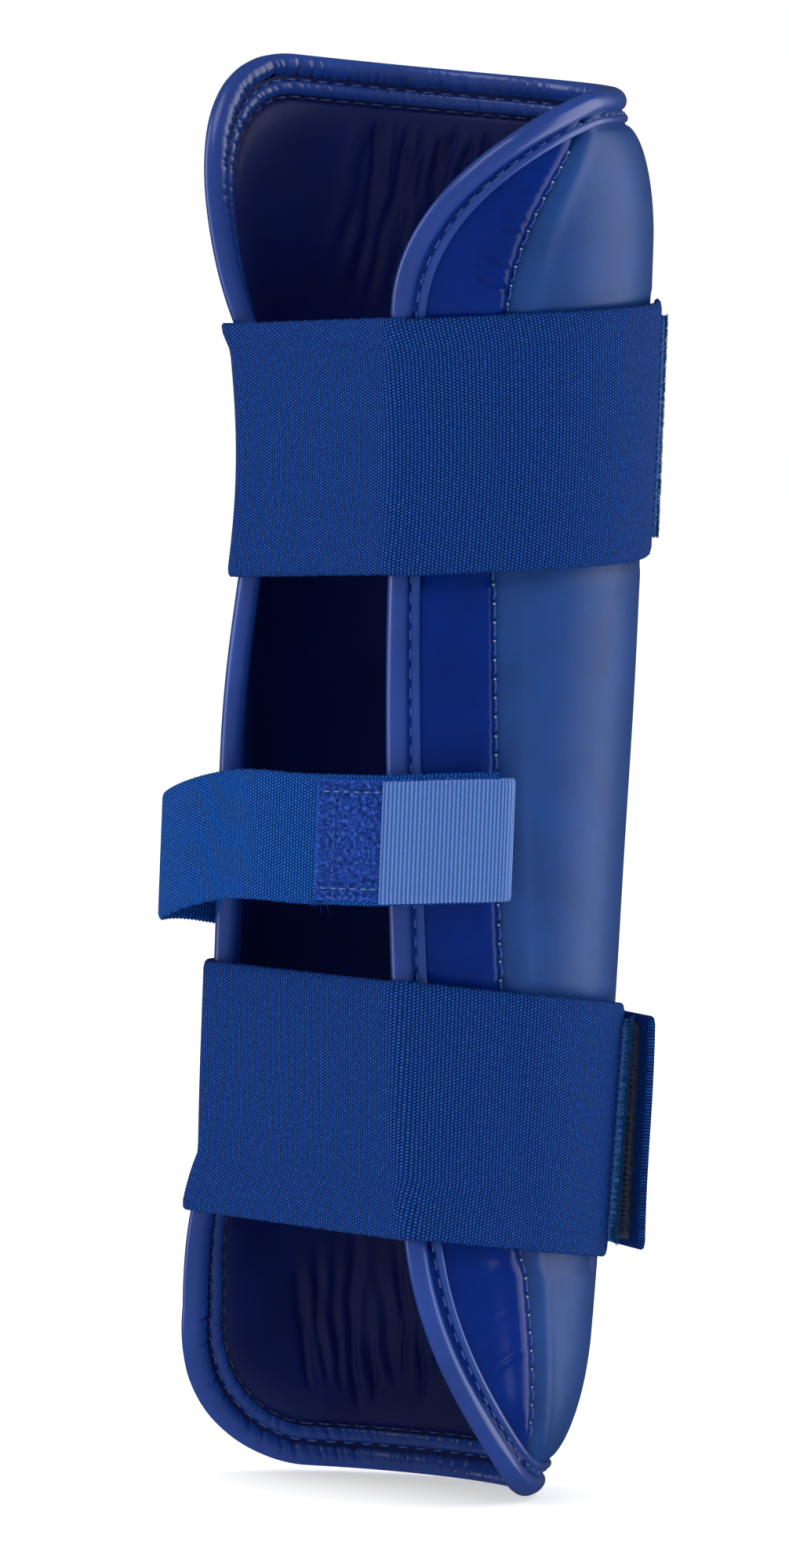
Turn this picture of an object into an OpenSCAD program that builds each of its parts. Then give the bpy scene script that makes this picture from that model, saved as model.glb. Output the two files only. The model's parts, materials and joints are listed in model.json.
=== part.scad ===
// Forearm guard: a padded C-shaped sleeve, open along one side and closed by three elastic straps.
// +Z runs along the arm towards the elbow, the opening faces -Y and the thick front pad faces +Y.
// The origin is the middle of the hollow that holds the forearm.

/* [Sleeve] */
// Length of the sleeve along the arm, between the rolled edges' middle lines
guard_h = 276; // [240:1:320]
// Radius of the panel's middle surface at the elbow end
elbow_r = 38.5; // [37:0.5:42]
// Radius of the panel's middle surface at the wrist end
wrist_r = 36; // [34:0.5:38]
// Half of the panel's width round the arm, at half height
half_w = 86.5; // [80:0.5:88]
// How far the wing corners splay out at the ends, as a share of the drawn splay
splay_share = 1; // [0:0.1:1.2]

/* [Layers] */
// Thickness of the artificial leather
leather_t = 1; // [0.8:0.1:1.2]
// Thickness of the foam in the wings and behind the lining
foam_t = 3; // [2:0.5:4]
// Extra thickness of the front pad in its middle
pad_rise = 6; // [3:0.5:9]
// Diameter of the cord inside the rolled edge
cord_d = 3; // [2:0.5:3.4]
// Outer diameter of the rolled edge
roll_d = 4.6; // [4.2:0.1:5.4]
// Diameter of the sewing thread
thread_d = 0.8; // [0.6:0.1:1]

/* [Straps] */
// Width of the upper and lower elastics
wide_w = 50; // [40:1:54]
// Width of the middle elastic
narrow_w = 25; // [20:1:28]
// Thickness of an elastic
elastic_t = 1.5; // [1.2:0.1:1.8]
// Thickness of the hook and loop tapes
tape_t = 1; // [0.8:0.1:1.2]
// Height of the upper strap's middle
upper_z = 63; // [58:1:70]
// Height of the middle strap's middle, where it crosses the right wing
middle_z = -13; // [-16:1:-8]
// Height of the lower strap's middle
lower_z = -64.5; // [-68:0.5:-62]
// Free length of the upper tab
upper_tab_l = 9; // [9:1:12]
// Free length of the lower tab
lower_tab_l = 24; // [16:1:28]

/* [Hidden] */

cover_colour = [0.03, 0.16, 0.46];
pad_colour = [0.2, 0.31, 0.54];
lining_colour = [0.06, 0.1, 0.34];
foam_colour = [0.85, 0.85, 0.8];
elastic_colour = [0.09, 0.22, 0.48];
hook_colour = [0.28, 0.44, 0.71];
loop_colour = [0.12, 0.23, 0.54];
thread_colour = [0.12, 0.3, 0.65];

end_z = guard_h / 2;
half_t = foam_t / 2 + leather_t;   // middle surface to the face of a wing
grid_rows = 26;                    // rows of a wide sheet along the arm
wing_rows = 36;                    // rows of a wing, which bends more
strap_gap = 1.1;                   // free space under a strap
strap_n = half_t + strap_gap;      // middle surface to a strap's inner face
right_top = [48, 44];              // corner at the elbow end, round the arm and along it
left_top = [27, 29];
right_low = [42, 60];              // corner at the wrist end
left_low = [26, 29];
flare = 0.075;                     // the panel widens by this share of the height
bow = 0.0003;                      // and narrows by this share of the height squared
seam_w = 67;                       // width of the front pad at half height
seam_flare = 0.07;                 // its seam bends like the panel's edge, with its own shares
seam_bow = [0.0006, 0.0003];       // below and above half height
seam_in = 0.6;                     // the seam stays this far inside the panel's edge
seam_turn = [95, 0.011];           // above this height the seam turns in, by this share
bend_start = 45;                   // where a wing starts to splay, from the middle line
bend_run = 38;                     // length of wing that the splay is drawn for
top_splay = [83, 16, 4.6];         // the wings splay above this height, over this run, by this much
low_splay = [-78, 19, 9.6];        // and below this one
upper_pull = [58, 38, 4.6];        // the upper strap draws them in: height, run and depth
middle_pull = [-25, 45, 1.4];
splay_power = 1.5;
rim_slope = [32, 40];              // the front pad thins over these lengths at the wrist and the elbow
// The pad's rise at half height, what it gains towards the elbow and what it loses at both ends
pad_share = [0.8, 0.22, 0.35];
pad_power = 0.7;                   // roundness of the pad across the arm
tuck_top = 3;                      // the front edge turns in by this much at the elbow end
tuck_low = 6.5;                    // and by this much at the wrist end
tuck_run = 30;
tuck_w = 72;
crown = 0.022;                     // the wrist end's front edge reaches this share lower
slant = 2;                         // the elbow end rises towards the left wing by this much a radian
dip = 1;                           // and lies lower by this much all round

// ---- Outline of the panel, as width s round the arm at height z ----

// Panel half width before its corners are rounded
function plain_half(z) = half_w + flare * z - bow * z * z;

function top_corner(side) = side < 0 ? left_top : right_top;
function low_corner(side) = side < 0 ? left_low : right_low;
function top_w(side) = plain_half(end_z - top_corner(side)[1]);
function low_w(side) = plain_half(low_corner(side)[1] - end_z);

// Half width at distance d from an end, in a rounded corner of size c
function cornered(w, d, c) = w - c[0] + c[0] * sqrt(1 - pow(1 - d / c[1], 2));

function half_at(z, side) =
    z > end_z - top_corner(side)[1] ? cornered(top_w(side), max(0, end_z - z), top_corner(side))
    : z < low_corner(side)[1] - end_z ? cornered(low_w(side), max(0, end_z + z), low_corner(side))
    : plain_half(z);

// Where the long seam between the front pad and a wing runs
function seam_line(z) =
    seam_w + seam_flare * z - seam_bow[z > 0 ? 1 : 0] * z * z
    - seam_turn[1] * pow(max(0, z - seam_turn[0]), 2);
function seam_at(z, side) = min(seam_line(z), half_at(z, side) - seam_in);

// ---- Middle surface ----

function radius_at(z) = wrist_r + (elbow_r - wrist_r) * (z / guard_h + 0.5);

// How far a wing is pushed out at height z: out at the ends, in under the straps
function ease(d, run) = 1 - exp(-max(0, d) / run);
function hump(z, at_z, run) = exp(-pow((z - at_z) / run, 2));
function push(z) = splay_share * (top_splay[2] * ease(z - top_splay[0], top_splay[1])
                                  + low_splay[2] * ease(low_splay[0] - z, low_splay[1]));
function pull(z) = upper_pull[2] * hump(z, upper_pull[0], upper_pull[1])
    + middle_pull[2] * hump(z, middle_pull[0], middle_pull[1]);
function splay(s, z) = (push(z) - pull(z)) * pow(max(0, abs(s) - bend_start) / bend_run, splay_power);

// How far the front edge turns in at the ends
function tuck(s, z) = (z > 0 ? tuck_top : tuck_low) * max(0, 1 - pow(s / tuck_w, 2))
    * pow(max(0, min(1, (abs(z) - end_z + tuck_run) / tuck_run)), 2);

// Extra height of the front pad over the wings' face
function rise(s, z) =
    let (t = min(1, abs(s) / seam_at(z, sign(s))), q = z / end_z,
         e = min(1, (end_z - abs(z)) / rim_slope[z > 0 ? 1 : 0]),
         share = pad_share[0] + pad_share[1] * q - pad_share[2] * q * q)
    pad_rise * share * pow(1 - t * t, pad_power) * sin(90 * e);

// Turn round the arm, in degrees from the front
function turn(s, z) = s / radius_at(z) * 180 / PI;

// Point at width s and height z, n outside the middle surface
function at(s, z, n) =
    let (a = turn(s, z), r = radius_at(z) + splay(s, z) - tuck(s, z) + n,
         lift = z < 0 ? crown * z * (1 + cos(a)) / 2
             : -pow(z / end_z, 2) * (slant * s / radius_at(z) + dip))
    [r * sin(a), r * cos(a), z + lift];

// ---- Sheets: closed solids between two depths over a grid ----

function mix(a, b, t) = a + (b - a) * t;
function end_dense(t) = sin(90 * t);

// Two triangles for each cell of a grid of rows by cols that starts at index base
function cells(rows, cols, base, up) = [
    for (i = [0 : rows - 2], j = [0 : cols - 2])
        let (a = base + i * cols + j, b = a + 1, c = a + cols, d = c + 1)
        each up ? [[a, b, d], [a, d, c]] : [[a, d, b], [a, c, d]]
];

// Walls that join the rims of the two grids
function walls(rows, cols) =
    let (k = rows * cols,
         rim = concat([for (j = [0 : cols - 1]) j],
                      [for (i = [1 : rows - 1]) i * cols + cols - 1],
                      [for (j = [cols - 2 : -1 : 0]) (rows - 1) * cols + j],
                      [for (i = [rows - 2 : -1 : 1]) i * cols]))
    [for (m = [0 : len(rim) - 1])
        let (a = rim[m], b = rim[(m + 1) % len(rim)])
        each [[a, b, b + k], [a, b + k, a + k]]];

// Solid between two grids of points
module solid_between(inner, outer) {
    rows = len(inner);
    cols = len(inner[0]);
    points = concat([for (r = inner) each r], [for (r = outer) each r]);
    polyhedron(points, concat(cells(rows, cols, 0, false),
                              cells(rows, cols, rows * cols, true),
                              walls(rows, cols)), convexity = 8);
}

// Sheet from s = left(z) to right(z) and z0 to z1, between depths inner(s, z) and outer(s, z)
module sheet(left, right, rows, cols, z0, z1, inner, outer) {
    grid = [for (i = [0 : rows - 1])
        let (z = mix(z0, z1, (end_dense(2 * i / (rows - 1) - 1) + 1) / 2))
        [for (j = [0 : cols - 1]) [mix(left(z), right(z), j / (cols - 1)), z]]];
    solid_between([for (row = grid) [for (p = row) at(p[0], p[1], inner(p[0], p[1]))]],
                  [for (row = grid) [for (p = row) at(p[0], p[1], outer(p[0], p[1]))]]);
}

rim_in = roll_d / 2 - 0.4;         // the panels end this far inside the roll's middle line
panel_z = end_z - rim_in;
wing_z0 = -end_z + 6;              // the wings' seams run out into the rim here
wing_z1 = end_z - 3;

inner_face = function(s, z) -half_t;
lining_back = function(s, z) -half_t + leather_t;
wing_foam_face = function(s, z) half_t - leather_t;
wing_face = function(s, z) half_t;
pad_foam_face = function(s, z) half_t - leather_t + rise(s, z);
pad_face = function(s, z) half_t + rise(s, z);
seam_room = 1.4;                   // the least width of a wing, where its seam runs out
function panel_edge(z, side) = half_at(z, side) - rim_in;
function front_edge(z, side) = min(seam_at(z, side), panel_edge(z, side) - seam_room);

left_edge = function(z) -panel_edge(z, -1);
right_edge = function(z) panel_edge(z, 1);
left_seam = function(z) -front_edge(z, -1);
right_seam = function(z) front_edge(z, 1);

module front_cover() color(pad_colour)
    sheet(left_seam, right_seam, grid_rows, 21, -panel_z, panel_z, pad_foam_face, pad_face);

module wing_sheet(side, inner, outer)
    if (side < 0)
        sheet(left_edge, left_seam, wing_rows, 8, wing_z0, wing_z1, inner, outer);
    else
        sheet(right_seam, right_edge, wing_rows, 8, wing_z0, wing_z1, inner, outer);

module left_wing_cover() color(cover_colour) wing_sheet(-1, wing_foam_face, wing_face);
module right_wing_cover() color(cover_colour) wing_sheet(1, wing_foam_face, wing_face);
module left_wing_foam() color(foam_colour) wing_sheet(-1, lining_back, wing_foam_face);
module right_wing_foam() color(foam_colour) wing_sheet(1, lining_back, wing_foam_face);

module front_pad_foam() color(foam_colour)
    sheet(left_seam, right_seam, grid_rows, 21, -panel_z, panel_z, lining_back, pad_foam_face);

module inner_lining() color(lining_colour)
    sheet(left_edge, right_edge, grid_rows, 33, -panel_z, panel_z, inner_face, lining_back);

// ---- Rolled edge: a tube swept round the outline ----

// One half of the outline, as width and height, from the top middle to the bottom middle
function corner_turn(w, c, z_end, way, q) =
    [w - c[0] + c[0] * sin(q), z_end - way * c[1] * (1 - cos(q))];
function half_outline(side) =
    let (top = top_corner(side), low = low_corner(side), w1 = top_w(side), w0 = low_w(side))
    concat([for (t = [0.5 : 4]) [(w1 - top[0]) * t / 5, end_z]],
           [for (q = [0 : 10 : 90]) corner_turn(w1, top, end_z, 1, q)],
           [for (t = [1 : 17]) let (z = mix(end_z - top[1], low[1] - end_z, t / 18))
               [plain_half(z), z]],
           [for (q = [90 : -10 : 0]) corner_turn(w0, low, -end_z, -1, q)],
           [for (t = [4 : -1 : 0.5]) [(w0 - low[0]) * t / 5, -end_z]]);
left_outline = half_outline(-1);
outline = concat(half_outline(1),
    [for (i = [len(left_outline) - 1 : -1 : 0]) [-left_outline[i][0], left_outline[i][1]]]);

// The outline moved towards the panel's middle by d, at depth n
function inset_loop(d, n) = [for (p = outline)
    let (z = p[1] * (1 - d / end_z), s = p[0] * (1 - d / half_w)) at(s, z, n(s, z))];

function unit(v) = v / norm(v);

// Rings of a tube of radius r round the closed path, with the ring's first axis held near up
function rings(path, r, sides) = [for (i = [0 : len(path) - 1])
    let (n = len(path), t = unit(path[(i + 1) % n] - path[(i + n - 1) % n]),
         out = unit([path[i][0], path[i][1], 0]), u = unit(cross(t, out)), v = cross(u, t))
    [for (k = [0 : sides - 1]) let (a = 360 * (k + 0.5) / sides)
        path[i] + r * (cos(a) * u + sin(a) * v)]];

function ring_faces(count, sides, base, up) = [
    for (i = [0 : count - 1], k = [0 : sides - 1])
        let (a = base + i * sides + k, b = base + i * sides + (k + 1) % sides,
             c = base + ((i + 1) % count) * sides + k,
             d = base + ((i + 1) % count) * sides + (k + 1) % sides)
        each up ? [[a, d, b], [a, c, d]] : [[a, b, d], [a, d, c]]];

module loop_tube(path, r, sides) {
    polyhedron([for (ring = rings(path, r, sides)) each ring],
               ring_faces(len(path), sides, 0, true), convexity = 8);
}

// Strip rolled round a closed path, with its mouth towards the panel's middle
mouth = 40;                        // half of the mouth's angle
module rolled_strip(path, r_out, r_in) {
    sides = 14;
    half = sides / 2;
    profile = concat([for (k = [0 : half - 1]) r_out * turn_of(k / (half - 1))],
                     [for (k = [half - 1 : -1 : 0]) r_in * turn_of(k / (half - 1))]);
    points = [for (i = [0 : len(path) - 1])
        let (n = len(path), t = unit(path[(i + 1) % n] - path[(i + n - 1) % n]),
             out = unit([path[i][0], path[i][1], 0]), u = unit(cross(t, out)), v = cross(u, t))
        each [for (p = profile) path[i] + p[0] * u + p[1] * v]];
    polyhedron(points, ring_faces(len(path), sides, 0, true), convexity = 8);
}
function turn_of(t) = let (a = mix(mouth - 180, 180 - mouth, t)) [cos(a), sin(a)];

middle_depth = function(s, z) 0;

module edge_binding() color(cover_colour)
    rolled_strip(inset_loop(0, middle_depth), roll_d / 2, cord_d / 2);

module edge_cord() color(foam_colour)
    loop_tube(inset_loop(0, middle_depth), cord_d / 2, 8);

// The binding's thread lies sunk in the leather, clear of the straps
stitch_sink = 0.35;
stitch_depth = function(s, z) half_t - stitch_sink;
binding_stitch_in = 4.5;           // the outer seam's distance from the roll's middle line
lining_stitch_in = 8;
module binding_thread() color(thread_colour)
    loop_tube(inset_loop(binding_stitch_in, stitch_depth), thread_d / 2, 4);

module lining_thread() color(thread_colour)
    loop_tube(inset_loop(lining_stitch_in, inner_face), thread_d / 2, 4);

// ---- Open tubes, for seams that have two ends ----

module open_tube(path, r, sides) {
    n = len(path);
    all_rings = [for (i = [0 : n - 1])
        let (t = unit(path[min(i + 1, n - 1)] - path[max(i - 1, 0)]),
             out = unit([path[i][0], path[i][1], 0]), u = unit(cross(t, out)), v = cross(u, t))
        [for (k = [0 : sides - 1]) let (a = 360 * (k + 0.5) / sides)
            path[i] + r * (cos(a) * u + sin(a) * v)]];
    side_faces = [for (i = [0 : n - 2], k = [0 : sides - 1])
        let (a = i * sides + k, b = i * sides + (k + 1) % sides, c = a + sides, d = b + sides)
        each [[a, d, b], [a, c, d]]];
    polyhedron([for (ring = all_rings) each ring],
               concat(side_faces, [[for (k = [0 : sides - 1]) k]],
                      [[for (k = [sides - 1 : -1 : 0]) (n - 1) * sides + k]]), convexity = 4);
}

module seam_thread(side) color(thread_colour)
    open_tube([for (i = [0 : 44]) let (z = mix(wing_z0 + 2, wing_z1 - 2, i / 44))
        at(side * seam_at(z, side), z, half_t)], thread_d / 2, 4);

module left_seam_thread() seam_thread(-1);
module right_seam_thread() seam_thread(1);

// ---- Ribbons: straps, tapes and tabs that stand on edge ----

// A ribbon's plan is a list of points; each row of the ribbon is that plan at one height.
// The ribbon lies between offsets a and b to the outer side of its path.
function plan_normal(path, i) =
    let (n = len(path), t = path[min(i + 1, n - 1)] - path[max(i - 1, 0)])
    unit([t[1], -t[0], 0]);

module ribbon(rows_of_path, a, b)
    solid_between([for (p = rows_of_path) [for (i = [0 : len(p) - 1]) p[i] + a * plan_normal(p, i)]],
                  [for (p = rows_of_path) [for (i = [0 : len(p) - 1]) p[i] + b * plan_normal(p, i)]]);

// Heights of a ribbon's rows, from its top edge to its bottom edge
function edge_heights(z, w) = [for (i = [0 : 8]) z + w / 2 - w * i / 8];

// A strap keeps its own height, whatever the sleeve's ends do
function level(p, z) = [p[0], p[1], z];

// Point of a strap's inner face on the sleeve's outside
function on_sleeve(s, z) = level(at(s, z, strap_n + rise(s, z)), z);

// Point of a strap's inner face round the rolled edge on one side, q degrees past straight out
function round_edge(side, z, q) =
    let (w = half_at(z, side), a = turn(side * w, z) + side * q)
    level(at(side * w, z, 0), z) + strap_n * [sin(a), cos(a), 0];

edge_room = 2;                     // a strap leaves the wing's face this far before its edge
edge_turn = 45;                    // a strap turns about this much round each rolled edge
root_turn = 10;                    // its sewn part ends here, just before the fold it swings on
sweep_turn = 34;                   // and the part that swings starts here, just after the fold
root_s = 62;                       // a wide strap is sewn on from here to its edge
upper_end_s = 22;                  // a wide strap ends here on the front pad's right side
lower_end_s = 27;

// The lift of a strap's right part over its left part, at its end, and the share of it that
// the strap has where it turns round the right edge
upper_lift = 8;
lower_lift = -5;
upper_share = 0.3;
lower_share = 0;

// Left part of a wide strap, from its sewn end to the fold at the rolled edge
function root_path(z) = concat(
    [for (t = [0 : 6]) on_sleeve(-mix(root_s, half_at(z, -1) - edge_room, t / 6), z)],
    [for (q = [0 : 10 : root_turn]) round_edge(-1, z, q)]);

// Rest of a wide strap: over the opening, round the right edge and onto the front pad
function sweep_path(z, lift) =
    let (share = lift > 0 ? upper_share : lower_share, end_s = lift > 0 ? upper_end_s : lower_end_s)
    concat(
    [for (q = [sweep_turn : 5 : edge_turn]) round_edge(-1, z, q)],
    [for (q = [edge_turn : -15 : 0]) round_edge(1, z + share * lift, q)],
    [for (t = [0 : 14]) let (zt = z + mix(share, 1, t / 14) * lift)
        on_sleeve(mix(half_at(zt, 1) - edge_room, end_s, t / 14), zt)]);

module upper_strap_root() color(elastic_colour)
    ribbon([for (z = edge_heights(upper_z, wide_w)) root_path(z)], 0, elastic_t);
module lower_strap_root() color(elastic_colour)
    ribbon([for (z = edge_heights(lower_z, wide_w)) root_path(z)], 0, elastic_t);

module upper_elastic() color(elastic_colour)
    ribbon([for (z = edge_heights(upper_z, wide_w)) sweep_path(z, upper_lift)],
           0, elastic_t);
module lower_elastic() color(elastic_colour)
    ribbon([for (z = edge_heights(lower_z, wide_w)) sweep_path(z, lower_lift)],
           0, elastic_t);

// The last points of a wide strap's path carry its loop patch, a narrow strip at its end
patch_points = 2;
function tail(list, n) = [for (i = [len(list) - n : len(list) - 1]) list[i]];
patch_margin = 3;
module loop_patch(z, lift) color(loop_colour)
    ribbon([for (h = edge_heights(z, wide_w - 2 * patch_margin)) tail(sweep_path(h, lift), patch_points)],
           elastic_t, elastic_t + tape_t);
module upper_loop_patch() loop_patch(upper_z, upper_lift);
module lower_loop_patch() loop_patch(lower_z, lower_lift);

// A line of stitching across a ribbon, as a thread down one column of its rows
module cross_thread(rows_of_path, index, n) color(thread_colour)
    open_tube([for (p = rows_of_path) p[index] + n * plan_normal(p, index)], thread_d / 2, 4);

module strap_thread(z, lift) {
    rows = [for (h = edge_heights(z, wide_w - 2 * patch_margin - 2))
        tail(sweep_path(h, lift), patch_points)];
    cross_thread(rows, 0, elastic_t + tape_t);
}
module upper_strap_thread() strap_thread(upper_z, upper_lift);
module lower_strap_thread() strap_thread(lower_z, lower_lift);

// ---- Hook tabs of the wide straps ----

upper_tab_root_s = 8;              // a tab leaves the front pad here
lower_tab_root_s = 13;
function tab_root_s(z) = z > 0 ? upper_tab_root_s : lower_tab_root_s;
tab_base_w = 12;                   // the tab is sewn on over this width
tab_gap = 2.2;                     // from the tab's fold to its free part
tab_w = wide_w - 4;

// The tab's sewn part, flat on the front pad
function base_path(z) = [for (t = [0 : 4])
    let (s = tab_root_s(z) - tab_base_w * t / 4) level(at(s, z, half_t + rise(s, z)), z)];

// The tab's fold and free part: straight off along the pad's tangent at its root
function tab_point(z, z_mid, l, n) =
    let (s = tab_root_s(z_mid), a = turn(s, z_mid), r = radius_at(z_mid) + half_t + rise(s, z_mid))
    [r * sin(a) + l * cos(a) + n * sin(a), r * cos(a) - l * sin(a) + n * cos(a), z];

function tab_rows(z_mid, w, l0, l1) = [for (z = edge_heights(z_mid, w))
    [for (t = [0 : 3]) tab_point(z, z_mid, mix(l1, l0, t / 3), 0)]];

// The tab stands on edge beside the pad: its inner face carries the hooks
tab_lift = 1.7;                    // inner face of the tab over the pad's tangent
hook_ends = [9, 2];                // the hook strip's two ends, from the tab's free end
hook_start = 4;                    // and the least distance from the tab's fold
tab_stitches = [8, 3];             // the tab's two lines of stitching, from its free end
stitch_start = 3.7;
module tab_body(z_mid, l) color(elastic_colour)
    ribbon(tab_rows(z_mid, tab_w, tab_gap, l), tab_lift, tab_lift + elastic_t);
module tab_hooks(z_mid, l) color(hook_colour)
    ribbon(tab_rows(z_mid, tab_w - 4, max(l - hook_ends[0], hook_start), l - hook_ends[1]),
           tab_lift - tape_t, tab_lift);
module tab_thread(z_mid, l) color(thread_colour)
    for (d = tab_stitches)
        open_tube([for (z = edge_heights(z_mid, tab_w - 6))
            tab_point(z, z_mid, max(l - d, stitch_start), tab_lift + elastic_t)], thread_d / 2, 4);
module tab_base(z_mid) color(elastic_colour)
    ribbon([for (z = edge_heights(z_mid, tab_w)) base_path(z)], 0, elastic_t);

upper_tab_z = upper_z + upper_lift;
lower_tab_z = lower_z + lower_lift;
module upper_tab() tab_body(upper_tab_z, upper_tab_l);
module lower_tab() tab_body(lower_tab_z, lower_tab_l);
module upper_tab_hooks() tab_hooks(upper_tab_z, upper_tab_l);
module lower_tab_hooks() tab_hooks(lower_tab_z, lower_tab_l);
module upper_tab_thread() tab_thread(upper_tab_z, upper_tab_l);
module lower_tab_thread() tab_thread(lower_tab_z, lower_tab_l);
module upper_tab_base() tab_base(upper_tab_z);
module lower_tab_base() tab_base(lower_tab_z);
module tab_base_thread()
    for (z_mid = [upper_tab_z, lower_tab_z], index = [1, 3])
        cross_thread([for (z = edge_heights(z_mid, tab_w - 4)) base_path(z)], index, elastic_t);

// ---- Middle strap ----

// Plan of the middle elastic's inner face, with the height of its middle at each point
middle_fold = 5;                   // the strap swings on the point of its path with this index
middle_route = [
    [-39.2, -8.4, -20], [-38.6, -14, -20], [-38.6, -18, -19.5], [-39, -22, -19],
    [-39.2, -25, -18.8], [-39.2, -27, -18.8], [-38.7, -28.6, -18.9], [-37.2, -30.6, -18.8],
    [-34.2, -32.6, -18.2], [-29.8, -34.2, -17], [-22, -35.6, -15], [-10, -36.3, -12.8],
    [0, -37.2, -12.2], [10, -35.6, -12.4], [20, -33, -12.4], [28, -29.4, -12.4],
    [33.5, -25.6, -12.4], [38, -21, -12.4], [41.1, -16.9, -12.4], [43.3, -13.4, -12.4],
];
route_z = -13;                     // the height that the route is drawn for
function middle_rows(first, last, w) = [for (h = edge_heights(0, w))
    [for (i = [first : last]) middle_route[i] + [0, 0, h + middle_z - route_z]]];
last_point = len(middle_route) - 1;

// The sewn end lies on the left wing and the rest stands off it
module middle_strap_root() color(elastic_colour)
    ribbon(middle_rows(0, middle_fold - 1, narrow_w), 0, elastic_t);
module middle_elastic() color(elastic_colour)
    ribbon(middle_rows(middle_fold + 1, last_point, narrow_w), 0, elastic_t);
module middle_loop_patch() color(loop_colour)
    ribbon(middle_rows(13, last_point, narrow_w - 2), elastic_t, elastic_t + tape_t);

// Hook tape: sewn behind the elastic's end, then folded round to lie over the loop patch
fold_over = 0.4;                   // free space between the loop patch and the tab
end_way = unit(middle_route[last_point] - middle_route[last_point - 1]);
fold_l = 3.2;                      // the tape's fold stands this far past the elastic's end
module middle_tab_base() color(hook_colour)
    ribbon([for (row = middle_rows(16, last_point, narrow_w))
        concat(row, [row[len(row) - 1] + (fold_l - tape_t) * end_way])], -tape_t, 0);
tab_n = elastic_t + tape_t + fold_over;
module middle_hook_tab() color(hook_colour)
    ribbon([for (row = middle_rows(15, last_point, narrow_w))
        concat(row, [row[len(row) - 1] + fold_l * end_way])], tab_n, tab_n + tape_t);
module middle_strap_thread()
    for (index = [0, 6])
        cross_thread(middle_rows(13, last_point, narrow_w - 4), index, elastic_t + tape_t);

// ---- Stitching of the strap roots ----

module strap_root_thread() {
    for (z_mid = [upper_z, lower_z], index = [0, 2])
        cross_thread([for (z = edge_heights(z_mid, wide_w - 4)) root_path(z)], index, elastic_t);
    for (index = [0, 1])
        cross_thread(middle_rows(0, middle_fold - 1, narrow_w - 4), index, elastic_t);
}

front_cover();
left_wing_cover();
right_wing_cover();
inner_lining();
front_pad_foam();
left_wing_foam();
right_wing_foam();
edge_binding();
edge_cord();
binding_thread();
lining_thread();
left_seam_thread();
right_seam_thread();
upper_strap_root();
middle_strap_root();
lower_strap_root();
strap_root_thread();
upper_tab_base();
lower_tab_base();
tab_base_thread();
upper_elastic();
upper_loop_patch();
upper_strap_thread();
upper_tab();
upper_tab_hooks();
upper_tab_thread();
middle_elastic();
middle_loop_patch();
middle_tab_base();
middle_strap_thread();
middle_hook_tab();
lower_elastic();
lower_loop_patch();
lower_strap_thread();
lower_tab();
lower_tab_hooks();
lower_tab_thread();
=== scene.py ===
"""Looks of the forearm guard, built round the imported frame. Lengths are millimetres until a mesh is made."""

import json
import math

import bpy
import numpy as np
from mathutils import Matrix, Vector


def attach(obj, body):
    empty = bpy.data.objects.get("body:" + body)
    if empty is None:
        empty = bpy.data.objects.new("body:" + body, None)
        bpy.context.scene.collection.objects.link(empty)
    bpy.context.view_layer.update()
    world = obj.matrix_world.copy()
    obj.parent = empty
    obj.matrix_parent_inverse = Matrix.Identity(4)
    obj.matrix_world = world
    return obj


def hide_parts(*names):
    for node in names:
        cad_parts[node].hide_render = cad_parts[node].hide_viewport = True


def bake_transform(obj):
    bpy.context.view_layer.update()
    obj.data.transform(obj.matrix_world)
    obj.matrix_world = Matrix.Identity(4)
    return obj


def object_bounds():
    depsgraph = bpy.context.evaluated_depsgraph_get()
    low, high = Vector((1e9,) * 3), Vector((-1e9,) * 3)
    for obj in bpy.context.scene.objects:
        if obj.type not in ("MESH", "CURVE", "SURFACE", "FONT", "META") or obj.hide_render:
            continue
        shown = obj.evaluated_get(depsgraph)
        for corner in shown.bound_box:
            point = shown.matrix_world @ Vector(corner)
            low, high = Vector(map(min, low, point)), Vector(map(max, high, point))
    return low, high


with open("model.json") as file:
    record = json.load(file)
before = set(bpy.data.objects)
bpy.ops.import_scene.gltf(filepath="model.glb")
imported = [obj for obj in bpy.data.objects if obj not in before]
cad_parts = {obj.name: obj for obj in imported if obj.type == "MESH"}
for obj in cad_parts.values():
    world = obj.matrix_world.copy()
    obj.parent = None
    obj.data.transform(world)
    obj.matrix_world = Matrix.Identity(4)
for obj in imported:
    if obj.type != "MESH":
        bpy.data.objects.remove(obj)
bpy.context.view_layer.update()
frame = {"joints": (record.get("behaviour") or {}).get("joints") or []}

MM = 0.001
random = np.random.default_rng(7)

# ---------------------------------------------------------------- sleeve's shape, as in the CAD

GUARD_H = 276.0                    # length along the arm between the rolled edges' middles
ELBOW_R, WRIST_R = 38.5, 36.0      # middle surface's radius at the two ends
HALF_W = 86.5                      # half of the panel's width at half height
FLARE, BOW = 0.075, 0.0003         # it widens by this share of the height, less this share of its square
HALF_T = 2.5                       # middle surface to the face of a wing
PAD_RISE = 6.0                     # extra thickness of the front pad
PAD_SHARE = 0.8, 0.22, 0.35        # how much of it half height has, and how that changes with height
SEAM_W, SEAM_FLARE = 67, 0.07      # the seam's width at half height, and its flare
SEAM_BOW = 0.0003, 0.0006          # above and below half height
SEAM_TURN, SEAM_TURN_SHARE = 95, 0.011    # above this height the seam turns in, by this share
SEAM_ROOM = 1.4                    # least width of a wing, where its seam runs out
ROLL_R = 2.35                      # rolled edge
STRAP_N = 3.1                      # middle surface to a strap's inner face
TOP_CORNERS = {1: (48.0, 44.0), -1: (27.0, 29.0)}    # width and height, by side
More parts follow.
